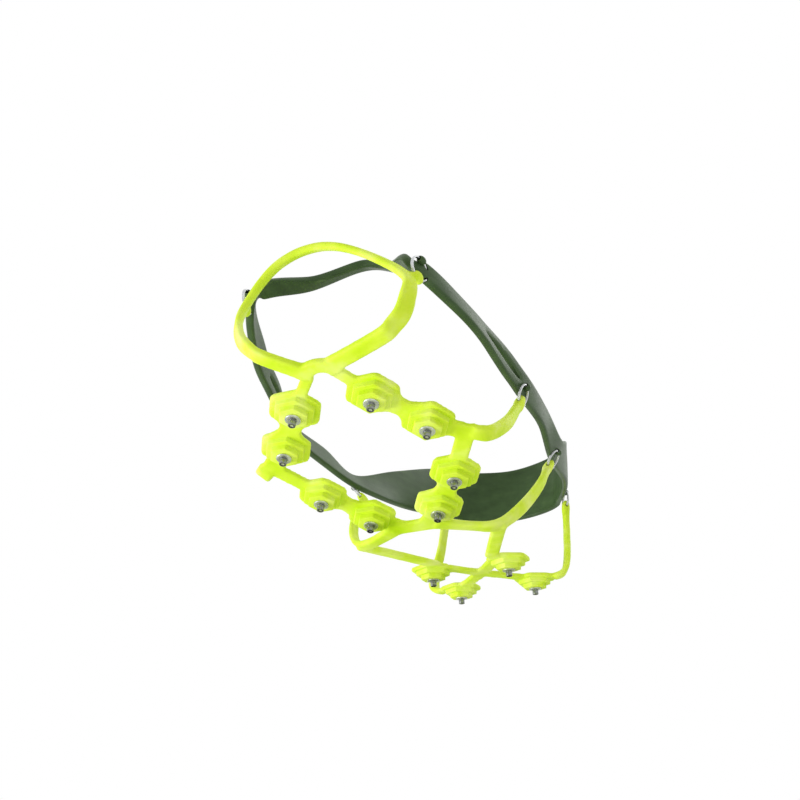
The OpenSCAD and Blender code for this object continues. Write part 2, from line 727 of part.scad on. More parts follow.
// Band over the vamp, with the eyelets of the front rings
module harness_vamp() {
    half = [band_front : -1 : 0];
    back = [1 : band_front];
    p = concat([for (i = half) band_points(1)[i]], [for (i = back) band_points(-1)[i]]);
    o = concat([for (i = half) band_outs(1)[i]], [for (i = back) band_outs(-1)[i]]);
    w = concat([for (i = half) band_heights[i]], [for (i = back) band_heights[i]]);
    color(harness_colour) difference() {
        union() {
            band(p, o, w, -band_way(1, band_front), band_way(-1, band_front));
            for (s = [-1, 1]) band_eyelet(eye_front(s), up_front(s));
        }
        for (s = [-1, 1]) at_ring(eye_front(s), up_front(s), along_front(s)) wire(ring_gap);
    }
}

// Side band, with the eyelets of the side and mid rings
module harness_side(s) {
    keep = [band_front : band_rear];
    color(harness_colour) difference() {
        union() {
            band(
                [for (i = keep) band_points(s)[i]], [for (i = keep) band_outs(s)[i]],
                [for (i = keep) band_heights[i]], band_way(s, band_front), band_way(s, band_rear)
            );
            band_eyelet(eye_side(s), up_side(s));
            band_eyelet(eye_mid(s), up_mid(s));
        }
        at_ring(eye_side(s), up_side(s), along_side(s)) wire(ring_gap);
        at_ring(eye_mid(s), up_mid(s), along_mid(s)) wire(ring_gap);
    }
}
module harness_right() { harness_side(1); }
module harness_left() { harness_side(-1); }

// Tall panel behind the heel, with the eyelets of the heel rings
module harness_heel() {
    last = len(band_points(1)) - 1;
    half = [band_rear : last];
    back = [last - 1 : -1 : band_rear];
    p = concat([for (i = half) band_points(1)[i]], [for (i = back) band_points(-1)[i]]);
    o = concat([for (i = half) band_outs(1)[i]], [for (i = back) band_outs(-1)[i]]);
    w = concat([for (i = half) band_heights[i]], [for (i = back) band_heights[i]]);
    color(harness_colour) difference() {
        union() {
            band(p, o, w, band_way(1, band_rear), -band_way(-1, band_rear));
            for (s = [-1, 1]) band_eyelet(eye_heel(s), up_heel(s));
        }
        for (s = [-1, 1]) at_ring(eye_heel(s), up_heel(s), along_heel(s)) wire(ring_gap);
    }
}

// Rings
module ring_front_right() { ring(eye_front(1), up_front(1), along_front(1)); }
module ring_front_left() { ring(eye_front(-1), up_front(-1), along_front(-1)); }
module ring_side_right() { ring(eye_side(1), up_side(1), along_side(1)); }
module ring_side_left() { ring(eye_side(-1), up_side(-1), along_side(-1)); }
module ring_mid_right() { ring(eye_mid(1), up_mid(1), along_mid(1)); }
module ring_mid_left() { ring(eye_mid(-1), up_mid(-1), along_mid(-1)); }
module ring_heel_right() { ring(eye_heel(1), up_heel(1), along_heel(1)); }
module ring_heel_left() { ring(eye_heel(-1), up_heel(-1), along_heel(-1)); }

// Studs and tips, two to a run
module fore_pair(a, b, s) {
    on_fore() side(s) for (p = [a, b]) translate(p) children();
}
module heel_pair(s) {
    on_rear() side(s) for (p = [heel_front, heel_rear]) translate(p) children();
}
module studs_front_right() { color(steel_colour) fore_pair(front_in, front_out, 1) stud(); }
module studs_front_left() { color(steel_colour) fore_pair(front_in, front_out, -1) stud(); }
module studs_rear_right() { color(steel_colour) fore_pair(rear_in, rear_out, 1) stud(); }
module studs_rear_left() { color(steel_colour) fore_pair(rear_in, rear_out, -1) stud(); }
module studs_heel_right() { color(steel_colour) heel_pair(1) stud(); }
module studs_heel_left() { color(steel_colour) heel_pair(-1) stud(); }
module tips_front_right() { color(tip_colour) fore_pair(front_in, front_out, 1) tip(); }
module tips_front_left() { color(tip_colour) fore_pair(front_in, front_out, -1) tip(); }
module tips_rear_right() { color(tip_colour) fore_pair(rear_in, rear_out, 1) tip(); }
module tips_rear_left() { color(tip_colour) fore_pair(rear_in, rear_out, -1) tip(); }
module tips_heel_right() { color(tip_colour) heel_pair(1) tip(); }
module tips_heel_left() { color(tip_colour) heel_pair(-1) tip(); }

nose_junction();
front_run_right();
front_run_left();
rear_run_right();
rear_run_left();
tail_junction();
toe_strap_right();
toe_strap_left();
toe_bail();
side_strap_right();
side_strap_left();
mid_strap_right();
mid_strap_left();
heel_cross();
heel_strap_right();
heel_strap_left();
harness_vamp();
harness_right();
harness_left();
harness_heel();
ring_front_right();
ring_front_left();
ring_side_right();
ring_side_left();
ring_mid_right();
ring_mid_left();
ring_heel_right();
ring_heel_left();
studs_front_right();
studs_front_left();
studs_rear_right();
studs_rear_left();
studs_heel_right();
studs_heel_left();
tips_front_right();
tips_front_left();
tips_rear_right();
tips_rear_left();
tips_heel_right();
tips_heel_left();
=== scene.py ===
"""Ice cleat: a moulded sole web with twelve studs, hung from a stretch band by eight split rings."""

from __future__ import annotations

import logging
import math
from dataclasses import dataclass, field
from enum import Enum
from typing import Iterable, Optional, Sequence, TypeVar

import bmesh
import bpy
from mathutils import Matrix, Vector

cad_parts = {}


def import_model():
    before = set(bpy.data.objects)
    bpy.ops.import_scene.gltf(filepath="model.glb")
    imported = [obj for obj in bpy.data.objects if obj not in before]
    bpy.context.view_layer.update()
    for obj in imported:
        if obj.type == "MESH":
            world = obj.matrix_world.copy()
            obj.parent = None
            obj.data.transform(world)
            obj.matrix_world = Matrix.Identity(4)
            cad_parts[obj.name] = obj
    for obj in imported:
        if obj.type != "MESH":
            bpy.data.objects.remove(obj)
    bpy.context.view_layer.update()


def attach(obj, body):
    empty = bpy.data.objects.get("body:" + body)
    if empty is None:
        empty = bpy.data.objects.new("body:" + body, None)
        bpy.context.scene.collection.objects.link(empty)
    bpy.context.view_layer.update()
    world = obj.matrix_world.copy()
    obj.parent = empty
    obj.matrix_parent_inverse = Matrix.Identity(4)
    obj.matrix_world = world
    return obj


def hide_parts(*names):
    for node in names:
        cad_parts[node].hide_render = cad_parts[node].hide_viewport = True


LOG = logging.getLogger("ice_cleat")
MM = 0.001
BODY = "cleat"
NOISE_RANGE = (0.3, 0.7)
EDGE_RANGE = (0.52, 0.62)
SLOT_EDGE = 0.1
SLOT_SHUT = 0.25
SLOT_OPEN = 0.26
SECTION_MARK = 0.6
CORNER_MOST = 0.95
HEX_SIDES = 6
HEX_TURN = 30.0
WIRE_SIDES = 20
LOOP_STEPS = 72
WELD = 1e-4
Knot = TypeVar("Knot", float, Vector)
Mesh = bmesh.types.BMesh
Layer = bmesh.types.BMLayerItem
Socket = bpy.types.NodeSocket
Colour = tuple[float, float, float, float]
Row = tuple[float, float, float, float]
Space = tuple[float, float, float]
Flat = tuple[float, float]
Value = Socket | float | Space


class Side(Enum):
    """Side of the foot."""

    RIGHT = 1
    LEFT = -1

    @property
    def sign(self) -> int:
        """Sign of X on this side."""
        return self.value

    @property
    def label(self) -> str:
        """Ending of this side's names."""
        return self.name.lower()


class Slot(Enum):
    """Material slots."""

    WEB = "web"
    HARNESS = "harness"
    RING = "ring"
    STUD = "stud"
    TIP = "tip"


def tone(red: int, green: int, blue: int) -> Colour:
    """Linear colour of a screen colour.

    Args:
        red, green, blue: screen values from 0 to 255.

    Returns:
        Linear RGBA with full alpha.
    """
    parts = [c / 255 for c in (red, green, blue)]
    linear = [c / 12.92 if c <= 0.04045 else ((c + 0.055) / 1.055) ** 2.4 for c in parts]
    return (linear[0], linear[1], linear[2], 1.0)


def mix(a: Knot, b: Knot, t: float) -> Knot:
    """Point between a and b, at share t of the way."""
    return a + (b - a) * t


def flat_to(v: Vector, d: Vector) -> Vector:
    """Unit vector of v with its part along d taken out."""
    return (v - d * v.dot(d)).normalized()


def off(side: Side, a: Vector, b: Vector, rows: Iterable[Row]) -> list[Vector]:
    """Places at shares of the way from a to b, each pushed out, back and up."""
    return [mix(a, b, t) + Vector((side.sign * x, y, z)) for t, x, y, z in rows]


def facing(side: Side, rows: Iterable[Vector | Space]) -> list[Vector]:
    """Ways that a run faces, with X outward in plain rows."""
    return [o if isinstance(o, Vector) else Vector((side.sign * o[0], o[1], o[2])) for o in rows]


def spline(
    knots: Sequence[Knot], steps: int, before: Optional[Knot] = None, after: Optional[Knot] = None
) -> list[Knot]:
    """Smooth run through knots.

    Args:
        knots: points or numbers that the run passes.
        steps: samples to each span.
        before, after: knots that the run comes from and goes on to.

    Returns:
        The samples, with both end knots.
    """
    line = [knots[0] if before is None else before, *knots, knots[-1] if after is None else after]
    run = []
    for i in range(1, len(knots)):
        a, b, c, d = line[i - 1 : i + 3]
        for k in range(steps):
            t = k / steps
            square, cube = 2 * a - 5 * b + 4 * c - d, 3 * b - a - 3 * c + d
            run.append(0.5 * (2 * b + (c - a) * t + square * t**2 + cube * t**3))
    run.append(knots[-1])
    return run


def eased(run: Sequence[Knot], passes: int) -> list[Knot]:
    """Run with its bends softened; the ends stay.

    Args:
        run: points or numbers.
        passes: averaging passes.

    Returns:
        The softened run.
    """
    soft = list(run)
    for _ in range(passes):
        soft[1:-1] = [b * 0.5 + (a + c) * 0.25 for a, b, c in zip(soft, soft[1:], soft[2:])]
    return soft


class Bench:
    """Steps that every piece shares."""

    @staticmethod
    def join(target: Mesh, part: Mesh, place: Matrix) -> None:
        """Adds a part to a mesh.

        Args:
            target: mesh that grows.
            part: mesh that is added and freed.
            place: where the part goes.
        """
        part.transform(place)
        carrier = bpy.data.meshes.new("carrier")
        part.to_mesh(carrier)
        part.free()
        target.from_mesh(carrier)
        bpy.data.meshes.remove(carrier)

    @staticmethod
    def only(geom: Iterable[object], kind: type) -> list:
        """Items of one kind out of what a mesh operator gives back."""
        return [g for g in geom if isinstance(g, kind)]

    @staticmethod
    def disc(bm: Mesh, radius: float, depth: float, segments: int, place: Matrix) -> None:
        """Adds a straight disc or prism.

        Args:
            bm: mesh that grows.
            radius, depth, segments: its sizes, and corners round.
            place: place of its middle.
        """
        bmesh.ops.create_cone(
            bm, cap_ends=True, segments=segments, radius1=radius, radius2=radius, depth=depth, matrix=place
        )

    @staticmethod
    def soften(bm: Mesh, edges: list, offset: float, segments: int, clamp: bool = False) -> None:
        """Rounds edges of a mesh.

        Args:
            bm: mesh that is worked.
            edges: edges to round.
            offset: width of the rounding.
            segments: facets across it.
            clamp: whether a rounding stops where it meets the next.
        """
        bmesh.ops.bevel(
            bm, geom=edges, offset=offset, offset_type="OFFSET", segments=segments, profile=0.5,
            affect="EDGES", material=-1, clamp_overlap=clamp,
        )

    @staticmethod
    def turn(bm: Mesh, steps: int) -> None:
        """Turns an outline once round the Z axis into a closed skin.

        Args:
            bm: mesh of the outline.
            steps: facets round.
        """
        bmesh.ops.spin(
            bm, geom=bm.edges[:] + bm.verts[:], cent=(0, 0, 0), axis=(0, 0, 1), angle=math.tau, steps=steps,
            use_merge=True,
        )
        bmesh.ops.remove_doubles(bm, verts=bm.verts, dist=WELD)
        bmesh.ops.recalc_face_normals(bm, faces=bm.faces)

    @staticmethod
    def loose(bm: Mesh, name: str) -> bpy.types.Object:
        """Makes a work object of a mesh and frees the mesh.

        Args:
            bm: mesh to use.
            name: name of the object.

        Returns:
            The linked object.
        """
        mesh = bpy.data.meshes.new(name)
        bm.to_mesh(mesh)
        bm.free()
        thing = bpy.data.objects.new(name, mesh)
        bpy.context.scene.collection.objects.link(thing)
        return thing

    @staticmethod
    def drop(thing: bpy.types.Object) -> None:
        """Removes a work object with its mesh."""
        bpy.data.meshes.remove(thing.data)

    @staticmethod
    def work(bm: Mesh, kind: str, **settings: object) -> Mesh:
        """Mesh after one modifier.

        Args:
            bm: mesh to work, which is freed.
            kind: type of the modifier.
            settings: its settings.

        Returns:
            The worked mesh.
        """
        thing = Bench.loose(bm, "work")
        step = thing.modifiers.new("step", kind)
        for name, value in settings.items():
            setattr(step, name, value)
        done = thing.evaluated_get(bpy.context.evaluated_depsgraph_get())
        worked = bmesh.new()
        worked.from_mesh(done.to_mesh())
        done.to_mesh_clear()
        Bench.drop(thing)
        return worked

    @staticmethod
    def fuse(bm: Mesh, grid: float, passes: int) -> Mesh:
        """Melts overlapping solids into one moulded skin.

        Args:
            bm: solids to melt.
            grid: grid size.
            passes: smoothing passes.

        Returns:
            The melted mesh.
        """
        bmesh.ops.recalc_face_normals(bm, faces=bm.faces)
        skin = Bench.work(bm, "REMESH", mode="VOXEL", voxel_size=grid)
        axes = {f"use_axis_{axis}": True for axis in "xyz"}
        for _ in range(passes):
            bmesh.ops.smooth_vert(skin, verts=skin.verts, factor=0.5, **axes)
        return skin

    @staticmethod
    def carve(bm: Mesh, tool: Mesh, way: str) -> Mesh:
        """Joins or cuts a closed mesh with another.

        Args:
            bm: mesh that is worked.
            tool: mesh that is added or taken away.
            way: UNION or DIFFERENCE.

        Returns:
            The worked mesh.
        """
        cutter = Bench.loose(tool, "tool")
        done = Bench.work(bm, "BOOLEAN", operation=way, solver="MANIFOLD", object=cutter)
        Bench.drop(cutter)
        return done

    @staticmethod
    def piece(
        bm: Mesh,
        name: str,
        material: bpy.types.Material,
        slot: Slot,
        nodes: Iterable[str],
        body: str = BODY,
        crease: float = 35.0,
    ) -> None:
        """Finishes a mesh in millimetres as a piece of the cleat.

        Args:
            bm: finished mesh, which is freed.
            name: name of the piece.
            material: its finish.
            slot: slot of the finish; not used.
            nodes: solids that it stands for.
            body: body that it rides on.
            crease: angle in degrees above which an edge looks sharp.
        """
        bmesh.ops.scale(bm, vec=(MM, MM, MM), verts=bm.verts)
        thing = Bench.loose(bm, name)
        thing.data.shade_smooth()
        thing.data.set_sharp_from_angle(angle=math.radians(crease))
        thing.data.materials.append(material)
        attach(thing, body)
        stood_for = list(nodes)
        if stood_for:
            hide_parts(*stood_for)
        thing.data.calc_loop_triangles()
        LOG.info("%s: %d triangles", name, len(thing.data.loop_triangles))


def arithmetic(tree: bpy.types.NodeTree, operation: str, *values: Socket | float) -> Socket:
    """Adds a math node to a node tree.

    Args:
        tree: node tree of a material or world.
        operation: name of the node's operation.
        values: sockets and numbers that it works on.

    Returns:
        The result.
    """
    node = tree.nodes.new("ShaderNodeMath")
    node.operation = operation
    for end, value in zip(node.inputs, values):
        if isinstance(value, float):
            end.default_value = value
        else:
            tree.links.new(value, end)
    return node.outputs[0]


class Shader:
    """Node tree of one finish."""

    def __init__(self, name: str) -> None:
        """Starts a material with an output and a Principled shader.

        Args:
            name: name of the material.
        """
        self.material = bpy.data.materials.new(name)
        self.material.use_nodes = True
        self.tree = self.material.node_tree
        self.nodes = self.tree.nodes
        self.nodes.clear()
        self.surface = self.node("BsdfPrincipled")
        self.output = self.node("OutputMaterial", Surface=self.surface.outputs["BSDF"])
        self.place = self.node("TexCoord").outputs["Object"]

    def link(self, start: Socket, end: Socket) -> None:
        """Joins two sockets."""
        self.tree.links.new(start, end)

    def fill(self, node: bpy.types.Node, values: dict[str, Value]) -> bpy.types.Node:
        """Sets numbers on a node's inputs and joins sockets to them.

        Args:
            node: node to fill.
            values: what goes to each input, named with _ for a space.

        Returns:
            The node.
        """
        for name, value in values.items():
            end = node.inputs[name.replace("_", " ")]
            if isinstance(value, Socket):
                self.link(value, end)
            else:
                end.default_value = value
        return node

    def fix(self, **values: Value) -> None:
        """Fills inputs of the Principled shader."""
        self.fill(self.surface, values)

    def node(self, kind: str, **values: Value) -> bpy.types.Node:
        """Adds a node of some kind and fills its inputs."""
        return self.fill(self.nodes.new(f"ShaderNode{kind}"), values)

    def gloss(self, pattern: Socket, low: float, high: float) -> None:
        """Roughness from low to high along a cloudy pattern."""
        self.fix(Roughness=self.span(pattern, *NOISE_RANGE, low, high))

    def stretched(self, x: float, y: float, z: float) -> Socket:
        """Object place scaled along each axis."""
        return self.node("Mapping", Scale=(x, y, z), Vector=self.place).outputs["Vector"]

    def noise(self, scale: float, detail: float, place: Optional[Socket] = None) -> Socket:
        """Cloudy pattern with so many features to a metre, on the object's own place or another."""
        where = self.place if place is None else place
        return self.node("TexNoise", Scale=scale, Detail=detail, Vector=where).outputs["Fac"]

    def radius(self) -> Socket:
        """Distance of a turned surface from its own axis.

        Returns:
            The distance in metres.
        """
        node = self.node("Attribute")
        node.attribute_name = "turn_radius"
        return node.outputs["Fac"]

    def span(self, value: Socket, low: float, high: float, start: float, end: float) -> Socket:
        """Value mapped from low..high to start..end."""
        limits = {"From_Min": low, "From_Max": high, "To_Min": start, "To_Max": end}
        return self.node("MapRange", Value=value, **limits).outputs["Result"]

    def ramp(self, value: Socket, stops: Sequence[tuple[float, Colour]]) -> Socket:
        """Colours laid along a value.

        Args:
            value: value from 0 to 1.
            stops: places and colours, in order.

        Returns:
            The colour.
        """
        node = self.node("ValToRGB", Fac=value)
        keys = node.color_ramp.elements
        while len(keys) < len(stops):
            keys.new(0.5)
        for key, (place, colour) in zip(keys, stops):
            key.position = place
            key.color = colour
        return node.outputs["Color"]

    def edge_wear_and_sheen(self, colour: Socket, edge: Colour, low: float, high: float, most: float) -> Socket:
        """Colour turned to another along outer edges, standing for edge wear and for painted highlights along
        edges.

        Args:
            colour: colour of the faces.
            edge: colour of the edges.
            low, high: curvature where the turn starts and ends.
            most: greatest share of the edge colour.

        Returns:
            The mixed colour.
        """
        shape = self.node("NewGeometry").outputs["Pointiness"]
        share = self.span(shape, low, high, 0.0, most)
        node = self.node("Mix")
        node.data_type = "RGBA"
        sockets = [s for s in node.inputs if s.enabled]
        self.link(share, sockets[0])
        self.link(colour, sockets[1])
        sockets[2].default_value = edge
        return [s for s in node.outputs if s.enabled][0]

    def bump(self, height: Socket, depth: float, strength: float) -> None:
        """Relief of some depth in metres, of which a share shows."""
        relief = self.node("Bump", Height=height, Distance=depth, Strength=strength)
        self.fix(Normal=relief.outputs["Normal"])


@dataclass(frozen=True)
class WebRubber:
    """Bright moulded elastomer of the sole web."""

    deep: Colour = tone(204, 236, 22)
    body: Colour = tone(219, 243, 62)
    pale: Colour = tone(235, 249, 134)

    def material(self) -> bpy.types.Material:
        """Material with cloudy tint, fine moulded grain and paler edges that are part scuff wear, part
        painted highlight.

        Returns:
            The material.
        """
        shader = Shader("web_rubber")
        stops = ((0.3, self.deep), (0.5, self.body), (0.74, self.pale))
        colour = shader.ramp(shader.noise(70, 3), stops)
        # pale along outer edges: part scuff wear, part painted highlight on the lit edges
        shader.fix(Base_Color=shader.edge_wear_and_sheen(colour, self.pale, 0.51, 0.6, 0.28))
        grain = shader.noise(1600, 4)
        shader.gloss(grain, 0.48, 0.64)
        shader.bump(grain, 0.00004, 0.25)
        shader.fix(Specular_IOR_Level=0.22, Subsurface_Weight=0.18, Subsurface_Scale=0.0015)
        shader.fix(Subsurface_Radius=(1.0, 1.0, 0.15))
        return shader.material


@dataclass(frozen=True)
class BandRubber:
    """Dark glossy elastomer of the harness."""

    deep: Colour = tone(57, 77, 46)
    body: Colour = tone(65, 87, 53)
    pale: Colour = tone(75, 97, 61)
    edge: Colour = tone(100, 122, 80)

    def material(self) -> bpy.types.Material:
        """Material with drawn-out streaks, soft gloss and a paler colour along sharp edges.

        Returns:
            The material.
        """
        shader = Shader("band_rubber")
        streak = shader.noise(240, 5, shader.stretched(0.5, 0.25, 1.0))
        colour = shader.ramp(streak, ((0.3, self.deep), (0.55, self.body), (0.8, self.pale)))
        shader.fix(Base_Color=shader.edge_wear_and_sheen(colour, self.edge, *EDGE_RANGE, 0.6))
        grain = shader.noise(1300, 4, shader.stretched(1.0, 0.5, 1.0))
        shader.gloss(grain, 0.38, 0.46)
        shader.bump(grain, 0.00003, 0.16)
        shader.fix(Coat_Weight=0.04, Coat_Roughness=0.2, Specular_IOR_Level=0.15)
        return shader.material


@dataclass(frozen=True)
class RingSteel:
    """Bright drawn wire of the split rings."""

    dark: Colour = tone(186, 188, 190)
    bright: Colour = tone(226, 228, 229)

    def material(self) -> bpy.types.Material:
        """Material with draw marks and small gloss changes.

        Returns:
            The material.
        """
        shader = Shader("ring_steel")
        draw = shader.noise(1500, 4)
        shader.fix(Base_Color=shader.ramp(draw, ((0.3, self.dark), (0.7, self.bright))))
        shader.gloss(draw, 0.14, 0.3)
        shader.bump(shader.noise(4200, 3), 0.00002, 0.3)
        shader.fix(Metallic=1.0)
        return shader.material


@dataclass(frozen=True)
class StudSteel:
    """Turned steel of the stud bodies."""

    dark: Colour = tone(184, 187, 188)
    bright: Colour = tone(224, 226, 227)
    pitch: float = 5200.0

    def material(self) -> bpy.types.Material:
        """Material with turning marks round each stud's axis.

        Returns:
            The material.
        """
        shader = Shader("stud_steel")
        turns = arithmetic(shader.tree, "MULTIPLY", shader.radius(), self.pitch * math.tau)
        tarnish = shader.noise(300, 3)
        shader.fix(Base_Color=shader.ramp(tarnish, ((0.32, self.dark), (0.68, self.bright))))
        shader.gloss(tarnish, 0.22, 0.34)
        shader.bump(arithmetic(shader.tree, "SINE", turns), 0.000006, 0.2)
        shader.fix(Metallic=1.0)
        return shader.material


@dataclass(frozen=True)
class TipCarbide:
    """Sintered metal of the stud tips, grey on the sides, with a painted reflection in the middle of the cup
    and a painted shadow ring round it.
    """

    # dark is the painted shadow ring in the cup; bright is the painted reflection in its middle
    dark: Colour = tone(62, 64, 64)
    body: Colour = tone(138, 141, 140)
    bright: Colour = tone(206, 208, 204)
    edge: Colour = tone(176, 178, 176)
    rim: float = 0.0017

    def material(self) -> bpy.types.Material:
        """Material with a fine sintered grain, a painted reflection in the middle, a painted shadow ring
        round it and paler edges that are part wear, part painted highlight.

        Returns:
            The material.
        """
        shader = Shader("tip_carbide")
        grain = shader.noise(5200, 3)
        # painted light by distance from the axis: painted reflection in the middle, painted shadow ring round
        # it, then the grey body
        out = shader.span(shader.radius(), 0.0, self.rim, 0.0, 0.9)
        place = arithmetic(shader.tree, "ADD", out, shader.span(grain, *NOISE_RANGE, -0.05, 0.05))
        stops = ((0.3, self.bright), (0.46, self.dark), (0.64, self.dark), (0.8, self.body))
        # paler edges: part wear, part painted highlight standing for the rim light
        shader.fix(Base_Color=shader.edge_wear_and_sheen(shader.ramp(place, stops), self.edge, *EDGE_RANGE, 0.6))
        shader.gloss(grain, 0.2, 0.36)
        shader.bump(grain, 0.00003, 0.3)
        shader.fix(Metallic=0.9)
        return shader.material


@dataclass(frozen=True)
class FloorPaper:
    """White paper floor that only shows from above."""

    white: Colour = (0.86, 0.86, 0.85, 1.0)
    fibre: Colour = (0.84, 0.84, 0.83, 1.0)

    def material(self) -> bpy.types.Material:
        """Material that takes shadows on its upper face and lets light from below through.

        Returns:
            The material.
        """
        shader = Shader("floor_paper")
        stops = ((0.3, self.fibre), (0.7, self.white))
        shader.fix(Base_Color=shader.ramp(shader.noise(900, 3), stops))
        shader.fix(Roughness=0.9, Specular_IOR_Level=0.1)
        back = shader.node("NewGeometry").outputs["Backfacing"]
        shadow = shader.node("LightPath").outputs["Is Shadow Ray"]
        clear = shader.node("BsdfTransparent").outputs[0]
        blend = shader.node("MixShader")
        either = arithmetic(shader.tree, "MAXIMUM", back, shadow)
        for end, value in zip(blend.inputs, (either, shader.surface.outputs["BSDF"], clear)):
            shader.link(value, end)
        shader.link(blend.outputs[0], shader.output.inputs["Surface"])
        return shader.material


@dataclass(frozen=True)
class Plate:
    """Plane of a plate: local Z is 0 on its upper face and the studs point down."""

    y: float
    z: float
    tilt: float

    @property
    def matrix(self) -> Matrix:
        """Place of the plate."""
        return Matrix.Translation((0, self.y, self.z)) @ Matrix.Rotation(math.radians(self.tilt), 4, "X")

    def point(self, x: float, y: float, z: float = 0.0) -> Vector:
        """Point on the plate."""
        return self.matrix @ Vector((x, y, z))

    @property
    def down(self) -> Vector:
        """Way that the studs point."""
        return self.matrix.to_3x3() @ Vector((0, 0, -1))


@dataclass(frozen=True)
class RingSeat:
    """Place of a split ring: its lowest point, the way up to the band and the way of its wire."""

    node: str
    foot: Vector
    up: Vector
    along: Vector
    radius: float = 5.2

    @property
    def top(self) -> Vector:
        """Highest point of the ring."""
        return self.foot + self.up * 2 * self.radius

    @property
    def normal(self) -> Vector:
        """Axis of the ring."""
        return self.up.cross(self.along)

    def at(self, centre: Vector) -> Matrix:
        """Frame of the ring moved to a point."""
        axes = Matrix((self.up, self.along, self.normal)).transposed().to_4x4()
        return Matrix.Translation(centre) @ axes

    @property
    def matrix(self) -> Matrix:
        """Frame at the ring's middle."""
        return self.at(self.foot + self.up * self.radius)


@dataclass
class Layout:
    """Sizes in millimetres that several pieces share."""

    web_t: float = 3.0
    lug_h: float = 7.0
    fore: Plate = field(default_factory=lambda: Plate(-38.5645, 10.5885, -15.5))
    heel: Plate = field(default_factory=lambda: Plate(54.4355, 10.6588, 3.0))
    front_in: Flat = (17.9, -80.5)
    front_out: Flat = (33.7, -57.9)
    rear_out: Flat = (32.7, -21.8)
    rear_in: Flat = (16.9, 0.0)
    corner: Flat = (46.5, -46.3)
    corner_arm: float = 3.0
    nose: Flat = (2.6, -101.7)
    nose_arm: float = 8.0
    heel_front: Flat = (21.7, 0.0)
    heel_rear: Flat = (22.6, 49.6)
    toe_shift: float = 8.0
    toe_lean: float = 0.9
    toe_turn: float = 4.0
    toe_half: float = 36.5
    toe_reach: float = 10.4
    toe_eye_z: float = 30.6
    toe_top_z: float = 53.4
    bail_shift: float = -5.1

    @property
    def mid_z(self) -> float:
        """Middle of the plate's thickness."""
        return -self.web_t / 2

    def toe_way(self, x: float, y: float, z: float) -> Vector:
        """Direction that leans and turns with the toe loop.

        Args:
            x, y, z: the direction before it leans and turns.

        Returns:
            The turned direction.
        """
        lean = Matrix.Rotation(math.radians(self.toe_lean), 3, "Y")
        turn = Matrix.Rotation(math.radians(self.toe_turn), 3, "Z")
        return turn @ (lean @ Vector((x, y, z)))

    def toe_point(self, x: float, y: float, z: float) -> Vector:
        """Point that leans and turns with the toe loop."""
        base = self.fore.point(0, self.nose[1], self.mid_z)
        return self.toe_way(x, y, z) + Vector((self.toe_shift, base.y, base.z))

    def toe_knots(self, side: Side) -> list[Vector]:
        """Places of the toe loop, from the end of the front junction's arm to the middle of the bail.

        Args:
            side: side of the foot.

        Returns:
            The places.
        """
        s, half, reach, eye = side.sign, self.toe_half, -self.toe_reach, self.toe_eye_z
        rows = [(0.718, 0.91, 0.097), (0.814, 0.93, 0.202), (0.942, 0.98, 0.358), (1, 0.98, 0.623)]
        rows.append((0.967, 0.663, 1))
        knots = [self.fore.point(self.nose[0] + s * self.nose_arm, self.nose[1], self.mid_z)]
        knots += [self.toe_point(s * half * x, reach * y, eye * z) for x, y, z in rows]
        shoulder = mix(eye, self.toe_top_z, 0.746)
        knots.append(self.toe_point(s * half * 0.493 + self.bail_shift, reach * 0.635, shoulder))
        knots.append(self.toe_point(self.bail_shift, reach * 0.635, self.toe_top_z))
        return knots

    def ring(self, place: str, side: Side) -> RingSeat:
        """Seat of one ring.

        Args:
            place: front, side, mid or heel.
            side: side of the foot.

        Returns:
            The seat.
        """
        s = side.sign
        toe = self.toe_point(s * (self.toe_half + 1.41), -0.22 * self.toe_reach, self.toe_eye_z + 0.9)
        corner_y = self.fore.point(0, self.corner[1], self.mid_z).y
        rear_y = self.heel.point(0, self.heel_rear[1], self.mid_z).y
        foot, up, way = {
            "front": (toe, (0.1 * s, 0.3, 0.98), (0.2 * s, 0.9, -0.4)),
            "side": (Vector((s * 59.8, corner_y + 41, 50.9)), (0.37 * s, 0.25, 0.9), (0, 1, 0)),
            "mid": (Vector((s * 53.6, self.fore.y + 69.5, 48.4)), (0.58 * s, 0.15, 0.8), (0, 1, 0)),
            "heel": (Vector((s * 40, rear_y + 24, 61.4)), (0.05 * s, 0.12, 1), (-0.5 * s, 0.85, 0)),
        }[place]
        up = Vector(up).normalized()
        return RingSeat(f"ring_{place}_{side.label}", foot, up, flat_to(Vector(way), up))

    def rings(self) -> list[RingSeat]:
        """Seats of all the rings."""
        return [self.ring(place, side) for place in ("front", "side", "mid", "heel") for side in Side]

    def lugs(self, side: Side) -> dict[str, list[Matrix]]:
        """Places of one side's lugs.

        Args:
            side: side of the foot.

        Returns:
            Two lug places to each of the runs front, rear and heel.
        """
        s = side.sign

        def spot(plate: Plate, p: Flat) -> Matrix:
            """Place of a lug on a plate."""
            return plate.matrix @ Matrix.Translation((s * p[0], p[1], 0))

        return {
            "front": [spot(self.fore, self.front_in), spot(self.fore, self.front_out)],
            "rear": [spot(self.fore, self.rear_in), spot(self.fore, self.rear_out)],
            "heel": [spot(self.heel, self.heel_front), spot(self.heel, self.heel_rear)],
        }


